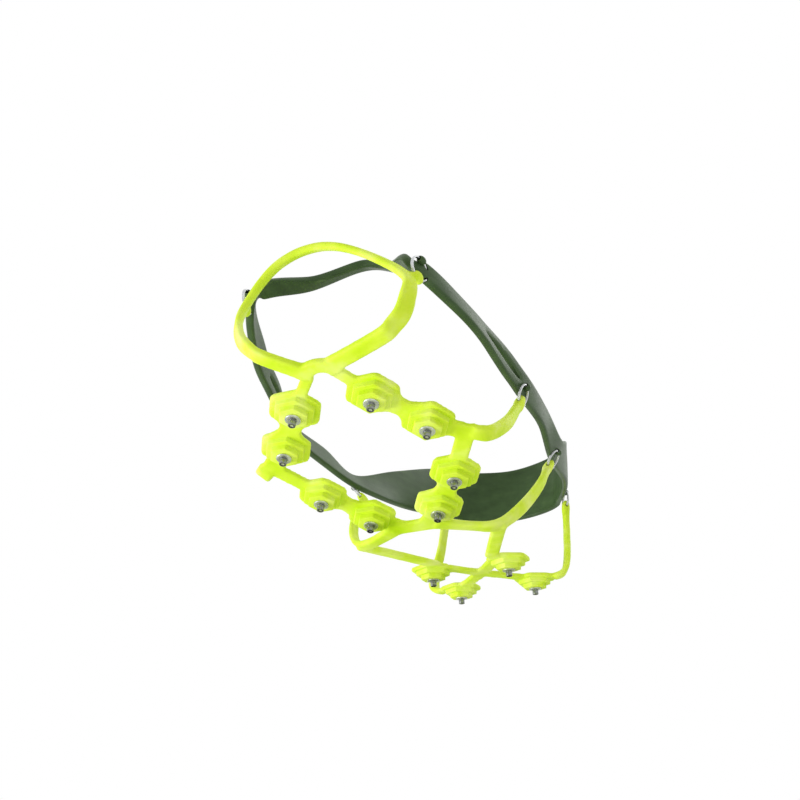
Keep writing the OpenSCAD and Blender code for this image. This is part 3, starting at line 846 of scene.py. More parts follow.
@dataclass
class Ribbon:
    """Strap or band drawn along a run of places, facing out."""

    places: list[Vector]
    outs: list[Vector]
    widths: list[float]
    depths: list[float]
    corner: float = 1.25
    crown: float = 0.0
    last: Optional[Vector] = None
    closed: bool = False
    slots: list[float] = field(default_factory=list)

    def codes(self) -> list[Row]:
        """Points of the section.

        Returns:
            Shares of the flat half width and depth, then of the corner radius, for each point.
        """
        arcs = [(1, 1, 90, 0), (1, -1, 0, -90), (-1, -1, -90, -180), (-1, 1, 180, 90)]
        marks = (-SECTION_MARK, -SLOT_EDGE, 0, SLOT_EDGE, SECTION_MARK)
        rows: list[Row] = []
        for index, (x, y, start, end) in enumerate(arcs):
            for k in range(4):
                a = math.radians(start + (end - start) * k / 3)
                rows.append((x, y, math.cos(a), math.sin(a)))
            if index == 1:
                rows += [(m, -1, 0, -1) for m in marks[::-1]]
        rows += [(m, 1, 0, 1) for m in marks]
        return rows

    def heading(self, i: int) -> Vector:
        """Way of the run at a station.

        Args:
            i: number of the station.

        Returns:
            The way, as a unit vector.
        """
        count = len(self.places)
        if self.closed:
            return (self.places[(i + 1) % count] - self.places[i - 1]).normalized()
        if i == count - 1 and self.last is not None:
            return self.last.normalized()
        return (self.places[min(i + 1, count - 1)] - self.places[max(i - 1, 0)]).normalized()

    def settle(self, verts: Iterable[bmesh.types.BMVert], i: int, layer: Layer) -> None:
        """Puts a ring of points on its station.

        Args:
            verts: the ring's points.
            i: number of the station.
            layer: layer that holds each point's number in the section.
        """
        way = self.heading(i)
        out = flat_to(self.outs[i], way)
        side = way.cross(out)
        half_w, half_d = self.widths[i] / 2, self.depths[i] / 2
        r = min(self.corner, half_w * CORNER_MOST, half_d * CORNER_MOST)
        codes = self.codes()
        for v in verts:
            cx, cy, ax, ay = codes[v[layer]]
            x = cx * (half_w - r) + ax * r
            if abs(cx) == SLOT_EDGE:
                x = math.copysign(self.slots[i] if self.slots else SLOT_SHUT, cx)
            y = cy * (half_d - r) + ay * r
            if cy > 0:
                y += self.crown * (1 - (x / half_w) ** 2)
            v.co = self.places[i] + side * x + out * y

    def build(self) -> Mesh:
        """Makes the ribbon.

        Returns:
            Its mesh, closed at both ends or joined into a loop.
        """
        bm = bmesh.new()
        layer = bm.verts.layers.int.new("section")
        station = bm.verts.layers.int.new("station")
        start = bmesh.ops.create_circle(bm, cap_ends=False, segments=len(self.codes()), radius=1.0)["verts"]
        for k, v in enumerate(start):
            v[layer] = k
        self.settle(start, 0, layer)
        opening = edges = list(bm.edges)
        for i in range(1, len(self.places)):
            made = bmesh.ops.extrude_edge_only(bm, edges=edges)["geom"]
            edges = Bench.only(made, bmesh.types.BMEdge)
            ring = Bench.only(made, bmesh.types.BMVert)
            for v in ring:
                v[station] = i
            self.settle(ring, i, layer)
        if self.closed:
            bmesh.ops.bridge_loops(bm, edges=opening + edges)
        else:
            bmesh.ops.contextual_create(bm, geom=opening)
            bmesh.ops.contextual_create(bm, geom=edges)
        self.cut_slots(bm, layer, station)
        bmesh.ops.recalc_face_normals(bm, faces=bm.faces)
        return bm

    def cut_slots(self, bm: Mesh, layer: Layer, station: Layer) -> None:
        """Opens the slots that part the band into two strands.

        Args:
            bm: mesh of the band.
            layer: layer of the section numbers.
            station: layer of the station numbers.
        """
        if not self.slots:
            return
        codes = self.codes()
        middle = {k for k, c in enumerate(codes) if abs(c[0]) <= SLOT_EDGE}
        open_at = {i for i, half in enumerate(self.slots) if half > SLOT_OPEN}
        inner = [f for f in bm.faces if all(v[layer] in middle for v in f.verts)]
        doomed = [f for f in inner if any(v[station] in open_at for v in f.verts)]
        bmesh.ops.delete(bm, geom=doomed, context="FACES")
        for s in (-1, 1):
            rim = [e for e in bm.edges if e.is_boundary and e.verts[0].co.x * s > 0]
            bmesh.ops.bridge_loops(bm, edges=rim)

    def round_end(self, reach: float) -> None:
        """Adds a rounded tip beyond the last station.

        Args:
            reach: length of the tip.
        """
        way = self.heading(len(self.places) - 1)
        end, out = self.places[-1], self.outs[-1]
        width, depth = self.widths[-1], self.depths[-1]
        for t in (0.3, 0.55, 0.75, 0.88, 0.96):
            self.places.append(end + way * reach * t)
            self.outs.append(out)
            self.widths.append(width * math.sqrt(1 - t * t))
            self.depths.append(depth * math.sqrt(1 - t**4))
        self.last = way


@dataclass
class SoleWeb:
    """Moulded web: two lug plates, the straps and the toe loop, with stepped lugs."""

    layout: Layout
    plate_t: float = 2.4
    lug_r: float = 12.6
    lug_corner: float = 3.2
    tier1_r: float = 9.7
    tier1_t: float = 2.3
    tier2_r: float = 7.2
    tier2_t: float = 2.3
    neck_w: float = 9.8
    neck_fillet: float = 6.0
    neck_dip: float = 3.0
    leg_r: float = 6.805
    leg_w: Flat = (6.175, 5.2)
    strap_w: float = 8.0
    strap_t: float = 3.4
    strap_end: float = 5.4
    bail_w: float = 6.2
    arch_r: float = 11.0
    arch_hole: float = 4.4
    arch_drop: float = 0.8
    arch_end: float = 18.0
    tail: Flat = (10.5, 13.5)
    tail_in: Flat = (5.0, 12.5)
    tail_w: float = 6.5
    cross_v: float = 20.5
    cross_in: float = 14.0
    cross_x: float = 17.0
    cross_out: float = 35.0
    cross_w: float = 7.5
    knee_y: float = -5.0
    hub_w: float = 10.5
    bend: Flat = (36.0, 29.0)
    eye_size: Space = (2.9, 3.4, 2.4)
    wire_room: float = 1.0
    base_room: Flat = (5.06, 2.2)
    hem: float = 1.6
    hem_steps: int = 6
    hem_swell: float = 1.2
    end_reach: float = 6.8
    step_root: float = 0.6
    step_draft: float = 0.975
    step_round: float = 0.34
    facets: int = 32
    run_steps: int = 10
    link_steps: int = 8
    strap_ease: int = 8
    loop_ease: int = 16
    face_ease: int = 30
    grid: float = 0.66
    melt_passes: int = 5
    mould: Mesh = field(default_factory=bmesh.new)

    def add(self, part: Mesh, place: Matrix = Matrix.Identity(4)) -> None:
        """Adds a solid to the mould."""
        Bench.join(self.mould, part, place)

    def bar(self, plate: Plate, a: Flat, b: Flat, width: float) -> None:
        """Adds a flat bar with round ends.

        Args:
            plate: plate that it lies in.
            a, b: its ends.
            width: its width.
        """
        t = self.plate_t
        way = Vector(b) - Vector(a)
        middle = (Vector(a) + Vector(b)) / 2
        bm = bmesh.new()
        turn = Matrix.Rotation(math.atan2(way.y, way.x), 4, "Z")
        size = Matrix.Diagonal((way.length, width, t, 1))
        bmesh.ops.create_cube(bm, size=1, matrix=Matrix.Translation((*middle, -t / 2)) @ turn @ size)
        for p in (a, b):
            Bench.disc(bm, width / 2, t, self.facets, Matrix.Translation((*p, -t / 2)))
        self.add(bm, plate.matrix)

    @staticmethod
    def hexagon(turn: float) -> Matrix:
        """Turn of a lug's hexagon, from flats on both sides."""
        return Matrix.Rotation(math.radians(HEX_TURN + turn), 4, "Z")

    def pad(self, place: Matrix, turn: float) -> None:
        """Adds a hexagonal pad with rounded corners.

        Args:
            place: place of the lug.
            turn: turn of the hexagon in degrees.
        """
        t = self.plate_t
        bm = bmesh.new()
        Bench.disc(bm, self.lug_r, t, HEX_SIDES, Matrix.Translation((0, 0, -t / 2)) @ self.hexagon(turn))
        upright = [e for e in bm.edges if abs(e.verts[0].co.z - e.verts[1].co.z) > 1]
        Bench.soften(bm, upright, self.lug_corner * math.tan(math.radians(HEX_TURN)), 6)
        self.add(bm, place)

    def neck(self, plate: Plate, a: Flat, b: Flat) -> None:
        """Adds the hollowed waist between two lugs.

        Args:
            plate: plate that it lies in.
            a, b: middles of the two lugs.
        """
        self.bar(plate, a, b, self.neck_w)
        t, r = self.plate_t, self.neck_fillet
        run = math.sqrt(r * r - (r - self.neck_dip) ** 2)
        way = Vector(b) - Vector(a)
        bm = bmesh.new()
        bmesh.ops.create_grid(bm, x_segments=16, y_segments=1, size=1)
        for v in bm.verts:
            v.co.x *= run
            v.co.y *= self.neck_w / 2 + r - math.sqrt(r * r - v.co.x**2)
        top = bmesh.ops.extrude_face_region(bm, geom=bm.faces[:])["geom"]
        bmesh.ops.translate(bm, vec=(0, 0, -t), verts=Bench.only(top, bmesh.types.BMVert))
        middle = (Vector(a) + Vector(b)) / 2
        place = Matrix.Translation((*middle, 0)) @ Matrix.Rotation(math.atan2(way.y, way.x), 4, "Z")
        self.add(bm, plate.matrix @ place)

    def arch(self) -> None:
        """Adds the small arch of the front junction and its two arms."""
        lay, t = self.layout, self.plate_t + self.arch_drop
        x, y = lay.nose
        bm = bmesh.new()
        near, far = self.arch_hole, self.arch_r
        bm.faces.new([bm.verts.new(c) for c in ((near, 0, -t), (far, 0, -t), (far, 0, 0), (near, 0, 0))])
        bmesh.ops.spin(
            bm, geom=bm.faces[:] + bm.edges[:] + bm.verts[:], cent=(0, 0, 0), axis=(0, 0, 1),
            angle=math.radians(2 * self.arch_end - 180), steps=40, use_merge=False,
        )
        swing = Matrix.Rotation(math.radians(-self.arch_end), 3, "Z")
        bmesh.ops.rotate(bm, cent=(0, 0, 0), matrix=swing, verts=bm.verts[:])
        lift = self.arch_r - self.strap_w / 2
        self.add(bm, lay.fore.matrix @ Matrix.Translation((x, y + lift, 0)))
        for side in Side:
            root, knot = [lay.fore.matrix.inverted() @ k for k in lay.toe_knots(side)[:2]]
            way = (knot - root).xy.normalized()
            self.bar(lay.fore, tuple(root.xy - way), tuple(root.xy + way * 2), self.strap_w)

    def fore_plate(self) -> None:
        """Adds the ring of eight forefoot lugs with its corners and rear junction."""
        lay = self.layout
        turn = math.radians(self.arch_end)
        leg_y = lay.nose[1] + self.arch_r - self.strap_w / 2 - self.leg_r * math.sin(turn)
        for side, leg_w in zip(Side, self.leg_w):
            s = side.sign

            def at(p: Flat) -> Flat:
                """Point on this side."""
                return (s * p[0], p[1])

            leg = (lay.nose[0] + s * self.leg_r * math.cos(turn), leg_y)
            self.bar(lay.fore, leg, at(lay.front_in), leg_w)
            self.neck(lay.fore, at(lay.front_in), at(lay.front_out))
            self.bar(lay.fore, at(lay.front_out), at(lay.corner), self.neck_w)
            arm = (lay.corner[0] + lay.corner_arm, lay.corner[1])
            self.bar(lay.fore, at(lay.corner), at(arm), self.strap_w)
            self.bar(lay.fore, at(lay.corner), at(lay.rear_out), self.strap_w)
            self.neck(lay.fore, at(lay.rear_out), at(lay.rear_in))
            self.bar(lay.fore, at(lay.rear_in), at(self.tail_in), self.tail_w)
            for spot in lay.lugs(side)["front"] + lay.lugs(side)["rear"]:
                self.pad(spot, 0)
        self.bar(lay.fore, (-self.tail[0], self.tail[1]), self.tail, self.strap_w)

    def heel_plate(self) -> None:
        """Adds the heel cross with its four pads."""
        lay = self.layout
        for side in Side:
            s = side.sign
            knee = (s * self.cross_x, self.knee_y)
            self.bar(lay.heel, (s * self.cross_x, -self.cross_in), knee, self.cross_w)
            self.bar(lay.heel, knee, (0, self.cross_v), self.cross_w)
            rear = (s * lay.heel_rear[0], lay.heel_rear[1])
            self.bar(lay.heel, (0, self.cross_v), rear, self.cross_w)
            self.bar(lay.heel, rear, (s * self.cross_out, lay.heel_rear[1]), self.strap_w)
            for spot in lay.lugs(side)["heel"]:
                self.pad(spot, HEX_TURN)
        self.bar(lay.heel, (-0.5, self.cross_v), (0.5, self.cross_v), self.hub_w)

    def eye(self, seat: RingSeat) -> None:
        """Adds the rounded ear that holds a ring.

        Args:
            seat: seat of the ring.
        """
        bm = bmesh.new()
        bmesh.ops.create_uvsphere(bm, u_segments=32, v_segments=20, radius=1)
        self.add(bm, seat.at(seat.foot) @ Matrix.Diagonal((*self.eye_size, 1)))

    def toe_loop(self) -> None:
        """Adds the loop that goes round the toe and over it, with its two ears."""
        lay = self.layout
        knots = {side.sign: lay.toe_knots(side) for side in Side}
        rows = [(0.15, -0.25, -0.97), (0.5, -0.45, -0.75), (0.76, -0.58, -0.35), (0.82, -0.56, -0.1)]
        rows += [(0.82, -0.45, 0.2), (0.45, -0.38, 0.8), (0, -0.38, 0.93)]
        outs = {s: [lay.fore.down, *[lay.toe_way(s * x, y, z) for x, y, z in rows]] for s in (1, -1)}
        w = self.strap_w
        widths = [w, w, w, w, w - 0.5, self.bail_w, self.bail_w, self.bail_w]
        n = self.run_steps
        places = eased(spline(knots[1] + knots[-1][-2::-1], n), self.loop_ease)
        faces = eased(spline(outs[1] + outs[-1][-2::-1], n), self.face_ease)
        depths = [self.strap_t] * len(places)
        self.add(Ribbon(places, faces, spline(widths + widths[-2::-1], n), depths).build())
        for side in Side:
            self.eye(lay.ring("front", side))

    def strap(
        self, side: Side, seat: RingSeat, knots: list[Vector], outs: list[Vector | Space], widths: list[float]
    ) -> None:
        """Adds a strap that rises to a ring and ends in a hem round it.

        Args:
            side: side of the foot.
            seat: seat of the ring.
            knots: places that it passes on its way there.
            outs: ways that it faces at each place and at the ring, with X outward in plain rows.
            widths: its widths there.
        """
        n = self.run_steps
        places = eased(spline([*knots, seat.foot - seat.up * self.hem], n), self.strap_ease)
        depths = [self.strap_t] * len(places)
        for k in range(self.hem_steps):
            depths[-1 - k] += self.hem_swell * (1 - k / self.hem_steps) ** 2
        ribbon = Ribbon(places, spline(facing(side, outs), n), spline(widths, n), depths, last=seat.up)
        ribbon.round_end(self.end_reach)
        self.add(ribbon.build())

    def straps(self, side: Side) -> None:
        """Adds one side's side, mid and heel straps and the link to the heel.

        Args:
            side: side of the foot.
        """
        lay, s, w, end = self.layout, side.sign, self.strap_w, self.strap_end
        seat = lay.ring("side", side)
        start = lay.fore.point(s * (lay.corner[0] + lay.corner_arm), lay.corner[1], lay.mid_z)
        rows = [(0.13, 4, 1, -3.2), (0.52, 3.8, 0, -4.2), (0.8, 1.4, 0.5, -1.8)]
        outs = [lay.fore.down, (0.6, -0.1, -0.7), (0.95, -0.1, -0.25), (1, -0.1, -0.1), (1, -0.1, -0.3)]
        knots = [start, *off(side, start, seat.foot, rows)]
        self.strap(side, seat, knots, outs, [w, w, w - 1, end + 0.4, end])
        seat = lay.ring("mid", side)
        start = lay.fore.point(s * self.tail[0], self.tail[1], lay.mid_z)
        bend_y = lay.fore.y + self.bend[1]
        bend = Vector((s * self.bend[0], bend_y, lay.heel.point(0, bend_y - lay.heel.y, lay.mid_z).z))
        knots = [start, *off(side, start, bend, [(0.55, 0, 1.5, -0.3)]), bend]
        knots += off(side, bend, seat.foot, [(0.3, 4, -1.5, -2.2), (0.72, 3, -1.5, -2.5)])
        outs = [lay.fore.down, lay.heel.down, (0.35, -0.1, -0.9), (0.85, -0.2, -0.5), (0.97, -0.1, -0.2)]
        self.strap(side, seat, knots, [*outs, (1, 0, -0.5)], [w, w, w, w - 0.6, end + 0.6, end])
        cross = lay.heel.point(s * self.cross_x, -self.cross_in, lay.mid_z)
        rows = [(0, 0.6, 1, 0), (0.35, 0.6, 0, 0), (0.75, 0.2, 0, 0)]
        link = spline([*off(side, bend, cross, rows), cross], self.link_steps)
        count = len(link)
        self.add(Ribbon(link, [lay.heel.down] * count, [self.cross_w] * count, [lay.web_t] * count).build())
        seat = lay.ring("heel", side)
        start = lay.heel.point(s * self.cross_out, lay.heel_rear[1], lay.mid_z)
        rows = [(0.1, 4.6, -0.4, -2.4), (0.3, 5, 0.5, -2), (0.65, 2.2, 2, -1)]
        outs = [lay.heel.down, (0.7, 0.2, -0.7), (0.85, 0.5, -0.15), (0.8, 0.6, 0), (0.8, 0.6, 0)]
        knots = [start, *off(side, start, seat.foot, rows)]
        self.strap(side, seat, knots, outs, [w, w, w - 1, end + 0.6, end])

    def rooms(self) -> Mesh:
        """Room for the ring wires and for the stud bases.

        Returns:
            The solids to cut away.
        """
        tool = bmesh.new()
        for seat in self.layout.rings():
            Bench.join(tool, wire_loop(seat.radius, self.wire_room), seat.matrix)
        for side in Side:
            for spot in sum(self.layout.lugs(side).values(), []):
                bm = bmesh.new()
                Bench.disc(bm, *self.base_room, 48, Matrix.Translation((0, 0, -0.1)))
                Bench.join(tool, bm, spot)
        return tool

    def steps(self, turn: float) -> Mesh:
        """Two hexagonal steps of a lug.

        Args:
            turn: turn of the hexagon in degrees.

        Returns:
            The steps, from inside the pad down to the stud.
        """
        t = self.plate_t
        bm = bmesh.new()
        start = Matrix.Translation((0, 0, self.step_root - t)) @ self.hexagon(turn)
        bmesh.ops.create_circle(bm, cap_ends=True, segments=HEX_SIDES, radius=self.tier1_r, matrix=start)
        root = set(bm.edges)
        face = next(iter(bm.faces))
        for number, fall in enumerate((self.tier1_t + self.step_root, self.tier2_t)):
            made = bmesh.ops.extrude_face_region(bm, geom=[face])["geom"]
            face = Bench.only(made, bmesh.types.BMFace)[0]
            bmesh.ops.translate(bm, vec=(0, 0, -fall), verts=face.verts)
            bmesh.ops.scale(bm, vec=(self.step_draft, self.step_draft, 1), verts=face.verts)
            if number == 0:
                inset = (self.tier1_r - self.tier2_r) * math.cos(math.radians(HEX_TURN))
                bmesh.ops.inset_region(bm, faces=[face], thickness=inset, use_even_offset=True)
        Bench.soften(bm, [e for e in bm.edges if e not in root], self.step_round, 3, clamp=True)
        bmesh.ops.recalc_face_normals(bm, faces=bm.faces)
        return bm

    def build(self, finish: WebRubber) -> None:
        """Makes the web and its stepped lugs.

        Args:
            finish: finish of the web.
        """
        material = finish.material()
        self.arch()
        self.fore_plate()
        self.heel_plate()
        self.toe_loop()
        for side in Side:
            self.straps(side)
        skin = Bench.fuse(self.mould, self.grid, self.melt_passes)
        skin = Bench.carve(skin, self.rooms(), "DIFFERENCE")
        names = ["nose_junction", "tail_junction", "toe_bail", "heel_cross"]
        kinds = ("front_run", "rear_run", "toe_strap", "side_strap", "mid_strap", "heel_strap")
        names += [f"{kind}_{side.label}" for kind in kinds for side in Side]
        Bench.piece(skin, "sole_web", material, Slot.WEB, names, crease=50)
        for run, turn in (("front", 0), ("rear", 0), ("heel", HEX_TURN)):
            for side in Side:
                bm = bmesh.new()
                for spot in self.layout.lugs(side)[run]:
                    Bench.join(bm, self.steps(turn), spot)
                Bench.piece(bm, f"lug_steps_{run}_{side.label}", material, Slot.WEB, [])


def wire_loop(radius: float, wire: float) -> Mesh:
    """Closed ring of round wire in its own plane.

    Args:
        radius: radius of the ring.
        wire: radius of the wire.

    Returns:
        The ring.
    """
    bm = bmesh.new()
    place = Matrix.Translation((radius, 0, 0)) @ Matrix.Rotation(math.pi / 2, 4, "X")
    bmesh.ops.create_circle(bm, cap_ends=False, segments=WIRE_SIDES, radius=wire, matrix=place)
    Bench.turn(bm, LOOP_STEPS)
    return bm


@dataclass
class StudSet:
    """Studs: a turned body with a domed flange, and a hard tip with a cupped face."""

    layout: Layout
    base_r: float = 5.0
    base_t: float = 1.2
    shank_r: float = 2.6
    flange_r: float = 3.45
    dome_h: float = 1.0
    tip_r: float = 1.7
    tip_in: float = 3.0
    tip_out: float = 2.6
    cup_r: float = 0.9
    cup_h: float = 0.5
    lip_w: float = 0.35
    rim_h: float = 0.38
    seat_h: float = 1.6
    play: float = 0.04
    arc_steps: int = 8
    facets: int = 56

    def turned(self, outline: Sequence[Flat]) -> Mesh:
        """Turns an outline round the stud's axis.

        Args:
            outline: radius and height of each point.

        Returns:
            The turned solid, with each point's radius in its own layer.
        """
        bm = bmesh.new()
        points = [bm.verts.new((r, 0, z)) for r, z in outline]
        for a, b in zip(points, points[1:]):
            bm.edges.new((a, b))
        Bench.turn(bm, self.facets)
        layer = bm.verts.layers.float.new("turn_radius")
        for v in bm.verts:
            v[layer] = math.hypot(v.co.x, v.co.y) * MM
        return bm

    def body(self) -> Mesh:
        """Body of one stud.

        Returns:
            A flat base, a shank and a domed flange in one.
        """
        low = -self.layout.lug_h
        base, rim, lip = self.base_r, self.flange_r, self.tip_r + self.lip_w
        seat, top = self.tip_r + self.play, low + self.seat_h
        rise = self.dome_h - self.rim_h
        arc = []
        for k in range(self.arc_steps + 1):
            a = math.radians(90 * k / self.arc_steps)
            arc.append((lip + (rim - lip) * math.cos(a), low - self.rim_h - rise * math.sin(a)))
        outline = [
            (0, -0.3), (0.7, -0.3), (1.0, 0), (base - 0.25, 0), (base, -0.25), (base, 0.15 - self.base_t),
            (base - 0.15, -self.base_t), (self.shank_r, -self.base_t), (self.shank_r, low), (rim - 0.08, low),
            (rim, low - 0.08), *arc,
            (seat, low - self.dome_h + 0.05), (seat, top), (0, top),
        ]
        return self.turned(outline)

    def tip(self) -> Mesh:
        """Tip of one stud.

        Returns:
            A tip with a rounded edge, a groove and a cupped face.
        """
        low = -self.layout.lug_h - self.dome_h
        root, end = low + self.tip_in, low - self.tip_out
        r, cup = self.tip_r, self.cup_r
        outline = [
            (0, root), (r - 0.2, root), (r, root - 0.2), (r, low - 0.5), (r - 0.07, low - 0.58),
            (r - 0.07, low - 0.7), (r, low - 0.78), (r, end + 0.3), (r - 0.1, end + 0.1), (r - 0.3, end),
            (cup + 0.12, end), (cup, end + 0.1), (cup * 0.85, end + 0.3),
            (cup * 0.5, end + self.cup_h - 0.06), (0, end + self.cup_h),
        ]
        return self.turned(outline)

    def build(self, steel: StudSteel, carbide: TipCarbide) -> None:
        """Makes all twelve studs and tips, two to a run.

        Args:
            steel: finish of the bodies.
            carbide: finish of the tips.
        """
        for shape, kind, material, slot in (
            (self.body, "studs", steel.material(), Slot.STUD),
            (self.tip, "tips", carbide.material(), Slot.TIP),
        ):
            for side in Side:
                for run, spots in self.layout.lugs(side).items():
                    bm = bmesh.new()
                    for spot in spots:
                        Bench.join(bm, shape(), spot)
                    node = f"{kind}_{run}_{side.label}"
                    Bench.piece(bm, f"turned_{node}", material, slot, [node])


@dataclass
class SplitRings:
    """Split rings of two wire turns."""

    layout: Layout
    strand: float = 0.43
    sides: int = 14
    rise: float = 0.92
    steps: int = 144
    end_round: float = 0.08
    gap_turn: float = 1.9

    def coil(self, radius: float) -> Mesh:
        """Two turns of round wire with cut ends.

        Args:
            radius: radius of the ring.

        Returns:
            The coil round its own Z axis.
        """
        bm = bmesh.new()
        place = Matrix.Translation((radius, 0, -self.rise / 2)) @ Matrix.Rotation(math.pi / 2, 4, "X")
        bmesh.ops.create_circle(bm, cap_ends=False, segments=self.sides, radius=self.strand, matrix=place)
        opening = bm.edges[:]
        made = bmesh.ops.spin(
            bm, geom=bm.edges[:] + bm.verts[:], cent=(0, 0, 0), axis=(0, 0, 1),
            dvec=(0, 0, self.rise / self.steps), angle=2 * math.tau, steps=self.steps, use_merge=False,
        )["geom_last"]
        bmesh.ops.contextual_create(bm, geom=opening)
        bmesh.ops.contextual_create(bm, geom=Bench.only(made, bmesh.types.BMEdge))
        ends = [e for f in bm.faces if len(f.verts) > 4 for e in f.edges]
        Bench.soften(bm, ends, self.end_round, 2)
        bmesh.ops.recalc_face_normals(bm, faces=bm.faces)
        bmesh.ops.rotate(bm, cent=(0, 0, 0), matrix=Matrix.Rotation(self.gap_turn, 3, "Z"), verts=bm.verts[:])
        return bm

    def build(self, finish: RingSteel) -> None:
        """Makes the eight rings, each on its own body.

        Args:
            finish: finish of the wire.
        """
        material = finish.material()
        for seat in self.layout.rings():
            bm = self.coil(seat.radius)
            bm.transform(seat.matrix)
            name = seat.node.replace("ring", "split_ring")
            Bench.piece(bm, name, material, Slot.RING, [seat.node], seat.node, crease=50)


@dataclass
class Harness:
    """Stretch band round the shoe, with a slot on each side, a tall heel panel and ring bridges."""

    layout: Layout
    band_t: float = 3.6
    vamp_h: float = 8.0
    front_h: float = 8.6
    side_h: float = 11.0
    panel_h: float = 35.0
    vamp: Flat = (29.0, 101.5)
    panel_half: float = 25.0
    heel_back: float = 48.0
    lap: float = 5.0
    wire_room: float = 1.15
    hole_room: float = 1.0
    samples: int = 9
    slot_from: float = 3.55
    slot_to: float = 4.75
    slot_half: float = 1.35
    slot_ease: float = 1.3
    slot_swell: float = 1.4
    corner: float = 1.2
    crown: float = 0.25
    bridge: Space = (1.6, 2.4, 1.8)

    def behind(self, seat: RingSeat, side: Side, height: float, lap: float) -> Vector:
        """Middle of a band of some height behind a ring that laps it."""
        face = seat.normal * -side.sign
        return seat.top + seat.up * (height / 2 - lap) - face * (self.band_t / 2 + self.wire_room)

    def half(self, side: Side) -> tuple[list[Vector], list[Vector], list[float]]:
        """Knots of one half of the loop.

        Args:
            side: side of the foot.

        Returns:
            Places, ways that the band faces, and heights.
        """
        lay, s = self.layout, side.sign
        seats = [lay.ring(place, side) for place in ("front", "side", "mid", "heel")]
        heights = (self.front_h, self.side_h, self.side_h + 1, self.panel_h)
        laps = (self.lap + 1, self.lap, self.lap, self.lap)
        f, d, m, h = [self.behind(seat, side, *row) for seat, *row in zip(seats, heights, laps)]
        faces = [seat.normal * -s for seat in seats]
        v = Vector((lay.toe_shift + 2, lay.ring("front", Side.RIGHT).foot.y + self.vamp[0], self.vamp[1]))
        back = lay.heel.point(0, lay.heel_rear[1]).y + self.heel_back
        places = [v, *off(side, v, f, [(0.52, 0.5, 6, 2.5)]), f]
        places += [*off(side, f, d, [(0.33, 4.9, 0, -2.6), (0.66, 3, 0, -1)]), d]
        places += [*off(side, d, m, [(0.5, 1.6, 0, 1)]), m, *off(side, m, h, [(0.5, 3.4, 0, 0)]), h]
        places.append(Vector((s * self.panel_half, mix(h.y, back, 0.66), h.z)))
        places.append(Vector((0, back, h.z)))
        outs = [Vector((0.05, -0.3, 0.95)), (0.5, -0.3, 0.8), faces[0], (0.95, -0.1, 0.2), (1, 0, 0)]
        outs += [faces[1], (1, 0, -0.2), faces[2], (1, 0.1, -0.1), faces[3], (0.5, 0.85, 0), (0, 1, 0)]
        tall, mid = self.panel_h, self.side_h + 1
        rows = [self.vamp_h, self.vamp_h, self.front_h, *[self.side_h] * 4, mid, mix(mid, tall, 0.5)]
        return places, facing(side, outs), rows + [tall] * 3

    def band(self) -> Mesh:
        """Band without its ring bridges.

        Returns:
            The closed band with its two slots.
        """
        right, left = [self.half(side) for side in Side]
        n, runs = self.samples, []
        for (places, outs, rows), (far, away, _) in ((right, left), (left, right)):
            curve = spline(places, n, far[1], far[-2])
            runs.append((curve, spline(outs, n, away[1], away[-2]), spline(rows, n)))
        count = len(runs[0][0])
        order = list(range(count - 2, 0, -1))
        places, outs, rows = [a + [b[i] for i in order] for a, b in zip(*runs)]
        slots = []
        for i in list(range(count)) + order:
            t = (i / self.samples - self.slot_from) / (self.slot_to - self.slot_from)
            swell = math.sin(math.pi * t) ** self.slot_ease if 0 < t < 1 else 0.0
            slots.append(SLOT_SHUT + self.slot_half * swell)
        rows = [row + (gap - SLOT_SHUT) * self.slot_swell for row, gap in zip(rows, slots)]
        depths = [self.band_t] * len(places)
        ribbon = Ribbon(places, outs, rows, depths, self.corner, self.crown, closed=True, slots=slots)
        return Bench.work(ribbon.build(), "SUBSURF", levels=1, render_levels=1)

    def build(self, finish: BandRubber) -> None:
        """Makes the band with its ring bridges.

        Args:
            finish: finish of the band.
        """
        band = self.band()
        bridges, rooms = bmesh.new(), bmesh.new()
        for seat in self.layout.rings():
            bm = bmesh.new()
            bmesh.ops.create_uvsphere(bm, u_segments=36, v_segments=24, radius=1)
            Bench.join(bridges, bm, seat.at(seat.top) @ Matrix.Diagonal((*self.bridge, 1)))
            Bench.join(rooms, wire_loop(seat.radius, self.hole_room), seat.matrix)
        band = Bench.carve(band, bridges, "UNION")
        band = Bench.carve(band, rooms, "DIFFERENCE")
        names = ["harness_vamp", "harness_right", "harness_left", "harness_heel"]
        Bench.piece(band, "harness_band", finish.material(), Slot.HARNESS, names, crease=40)


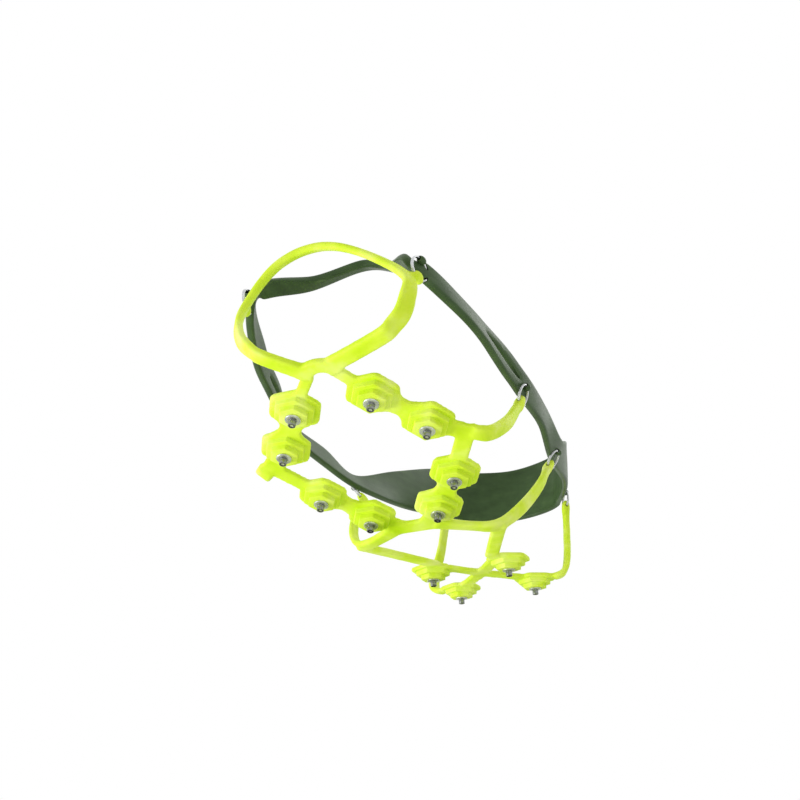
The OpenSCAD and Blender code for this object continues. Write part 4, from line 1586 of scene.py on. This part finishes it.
@dataclass
class Studio:
    """Camera, plain soft light and pale floor."""

    eye: Space = (0.16446, -0.4479275, -0.15648)
    azimuth: float = 22.09
    elevation: float = -26.92
    roll: float = -1.09
    focal_px: float = 996.04
    frame_px: float = 800.0
    sensor: float = 36.0
    aim: Space = (0, 0, 0.04)
    soft: float = 0.46

    def camera(self) -> None:
        """Sets the camera where the picture was taken."""
        a, e, r = (math.radians(v) for v in (self.azimuth, self.elevation, self.roll))
        back = Vector((math.sin(a) * math.cos(e), -math.cos(a) * math.cos(e), math.sin(e)))
        right = Vector((math.cos(a), math.sin(a), 0))
        up = back.cross(right)
        x = right * math.cos(r) + up * math.sin(r)
        y = up * math.cos(r) - right * math.sin(r)
        lens = bpy.data.cameras.new("camera")
        lens.sensor_width = self.sensor
        lens.lens = self.focal_px / self.frame_px * self.sensor
        lens.clip_start = 0.01
        camera = bpy.data.objects.new("camera", lens)
        camera.matrix_world = Matrix.Translation(self.eye) @ Matrix((x, y, back)).transposed().to_4x4()
        bpy.context.scene.collection.objects.link(camera)
        bpy.context.scene.camera = camera

    def lamp(self, name: str, place: Space, size: float, power: float, glints: bool = True) -> None:
        """Adds a square soft lamp that faces the cleat.

        Args:
            name: name of the lamp.
            place: its place in metres.
            size: its side in metres.
            power: its power in watts.
            glints: whether it shows in polished faces.
        """
        light = bpy.data.lights.new(name, "AREA")
        light.size = size
        light.energy = power
        thing = bpy.data.objects.new(name, light)
        thing.location = place
        thing.visible_glossy = glints
        thing.rotation_euler = (Vector(self.aim) - Vector(place)).to_track_quat("-Z", "Y").to_euler()
        bpy.context.scene.collection.objects.link(thing)

    def world(self) -> None:
        """White surroundings that light the cleat softly."""
        world = bpy.data.worlds.new("surroundings")
        bpy.context.scene.world = world
        world.use_nodes = True
        tree = world.node_tree
        tree.nodes.clear()
        ray = tree.nodes.new("ShaderNodeLightPath").outputs
        mirrored = arithmetic(tree, "MAXIMUM", ray["Is Glossy Ray"], ray["Is Transmission Ray"])
        blend = tree.nodes.new("ShaderNodeMixShader")
        tree.links.new(arithmetic(tree, "MAXIMUM", ray["Is Camera Ray"], mirrored), blend.inputs[0])
        for end, strength in zip(blend.inputs[1:], (self.soft, 1.0)):
            light = tree.nodes.new("ShaderNodeBackground")
            light.inputs["Color"].default_value = (1, 1, 1, 1)
            light.inputs["Strength"].default_value = strength
            tree.links.new(light.outputs[0], end)
        tree.links.new(blend.outputs[0], tree.nodes.new("ShaderNodeOutputWorld").inputs["Surface"])

    def floor(self) -> None:
        """Adds the paper floor under the studs."""
        bm = bmesh.new()
        bmesh.ops.create_grid(bm, x_segments=1, y_segments=1, size=3)
        sheet = Bench.loose(bm, "floor")
        sheet.data.materials.append(FloorPaper().material())

    def build(self) -> None:
        """Makes the camera, lamps, surroundings and floor."""
        bpy.context.scene.view_settings.view_transform = "Standard"
        self.camera()
        self.world()
        self.floor()
        self.lamp("key_lamp", (-0.92, -0.68, -0.4), 0.56, 9.8)
        self.lamp("top_lamp", (0.1, 0.0, 2.6), 4.0, 46.0, glints=False)
        self.lamp("low_lamp", (0.6, -0.6, -0.7), 0.8, 1.7)
        self.lamp("rear_lamp", (0.7, 1.3, 0.9), 0.9, 3.6)


def main() -> None:
    """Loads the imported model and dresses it, sub-assembly by sub-assembly."""
    logging.basicConfig(level=logging.INFO, format="%(name)s: %(message)s")
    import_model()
    Studio().build()
    layout = Layout()
    SoleWeb(layout).build(WebRubber())
    StudSet(layout).build(StudSteel(), TipCarbide())
    SplitRings(layout).build(RingSteel())
    Harness(layout).build(BandRubber())


if __name__ == "__main__":
    main()
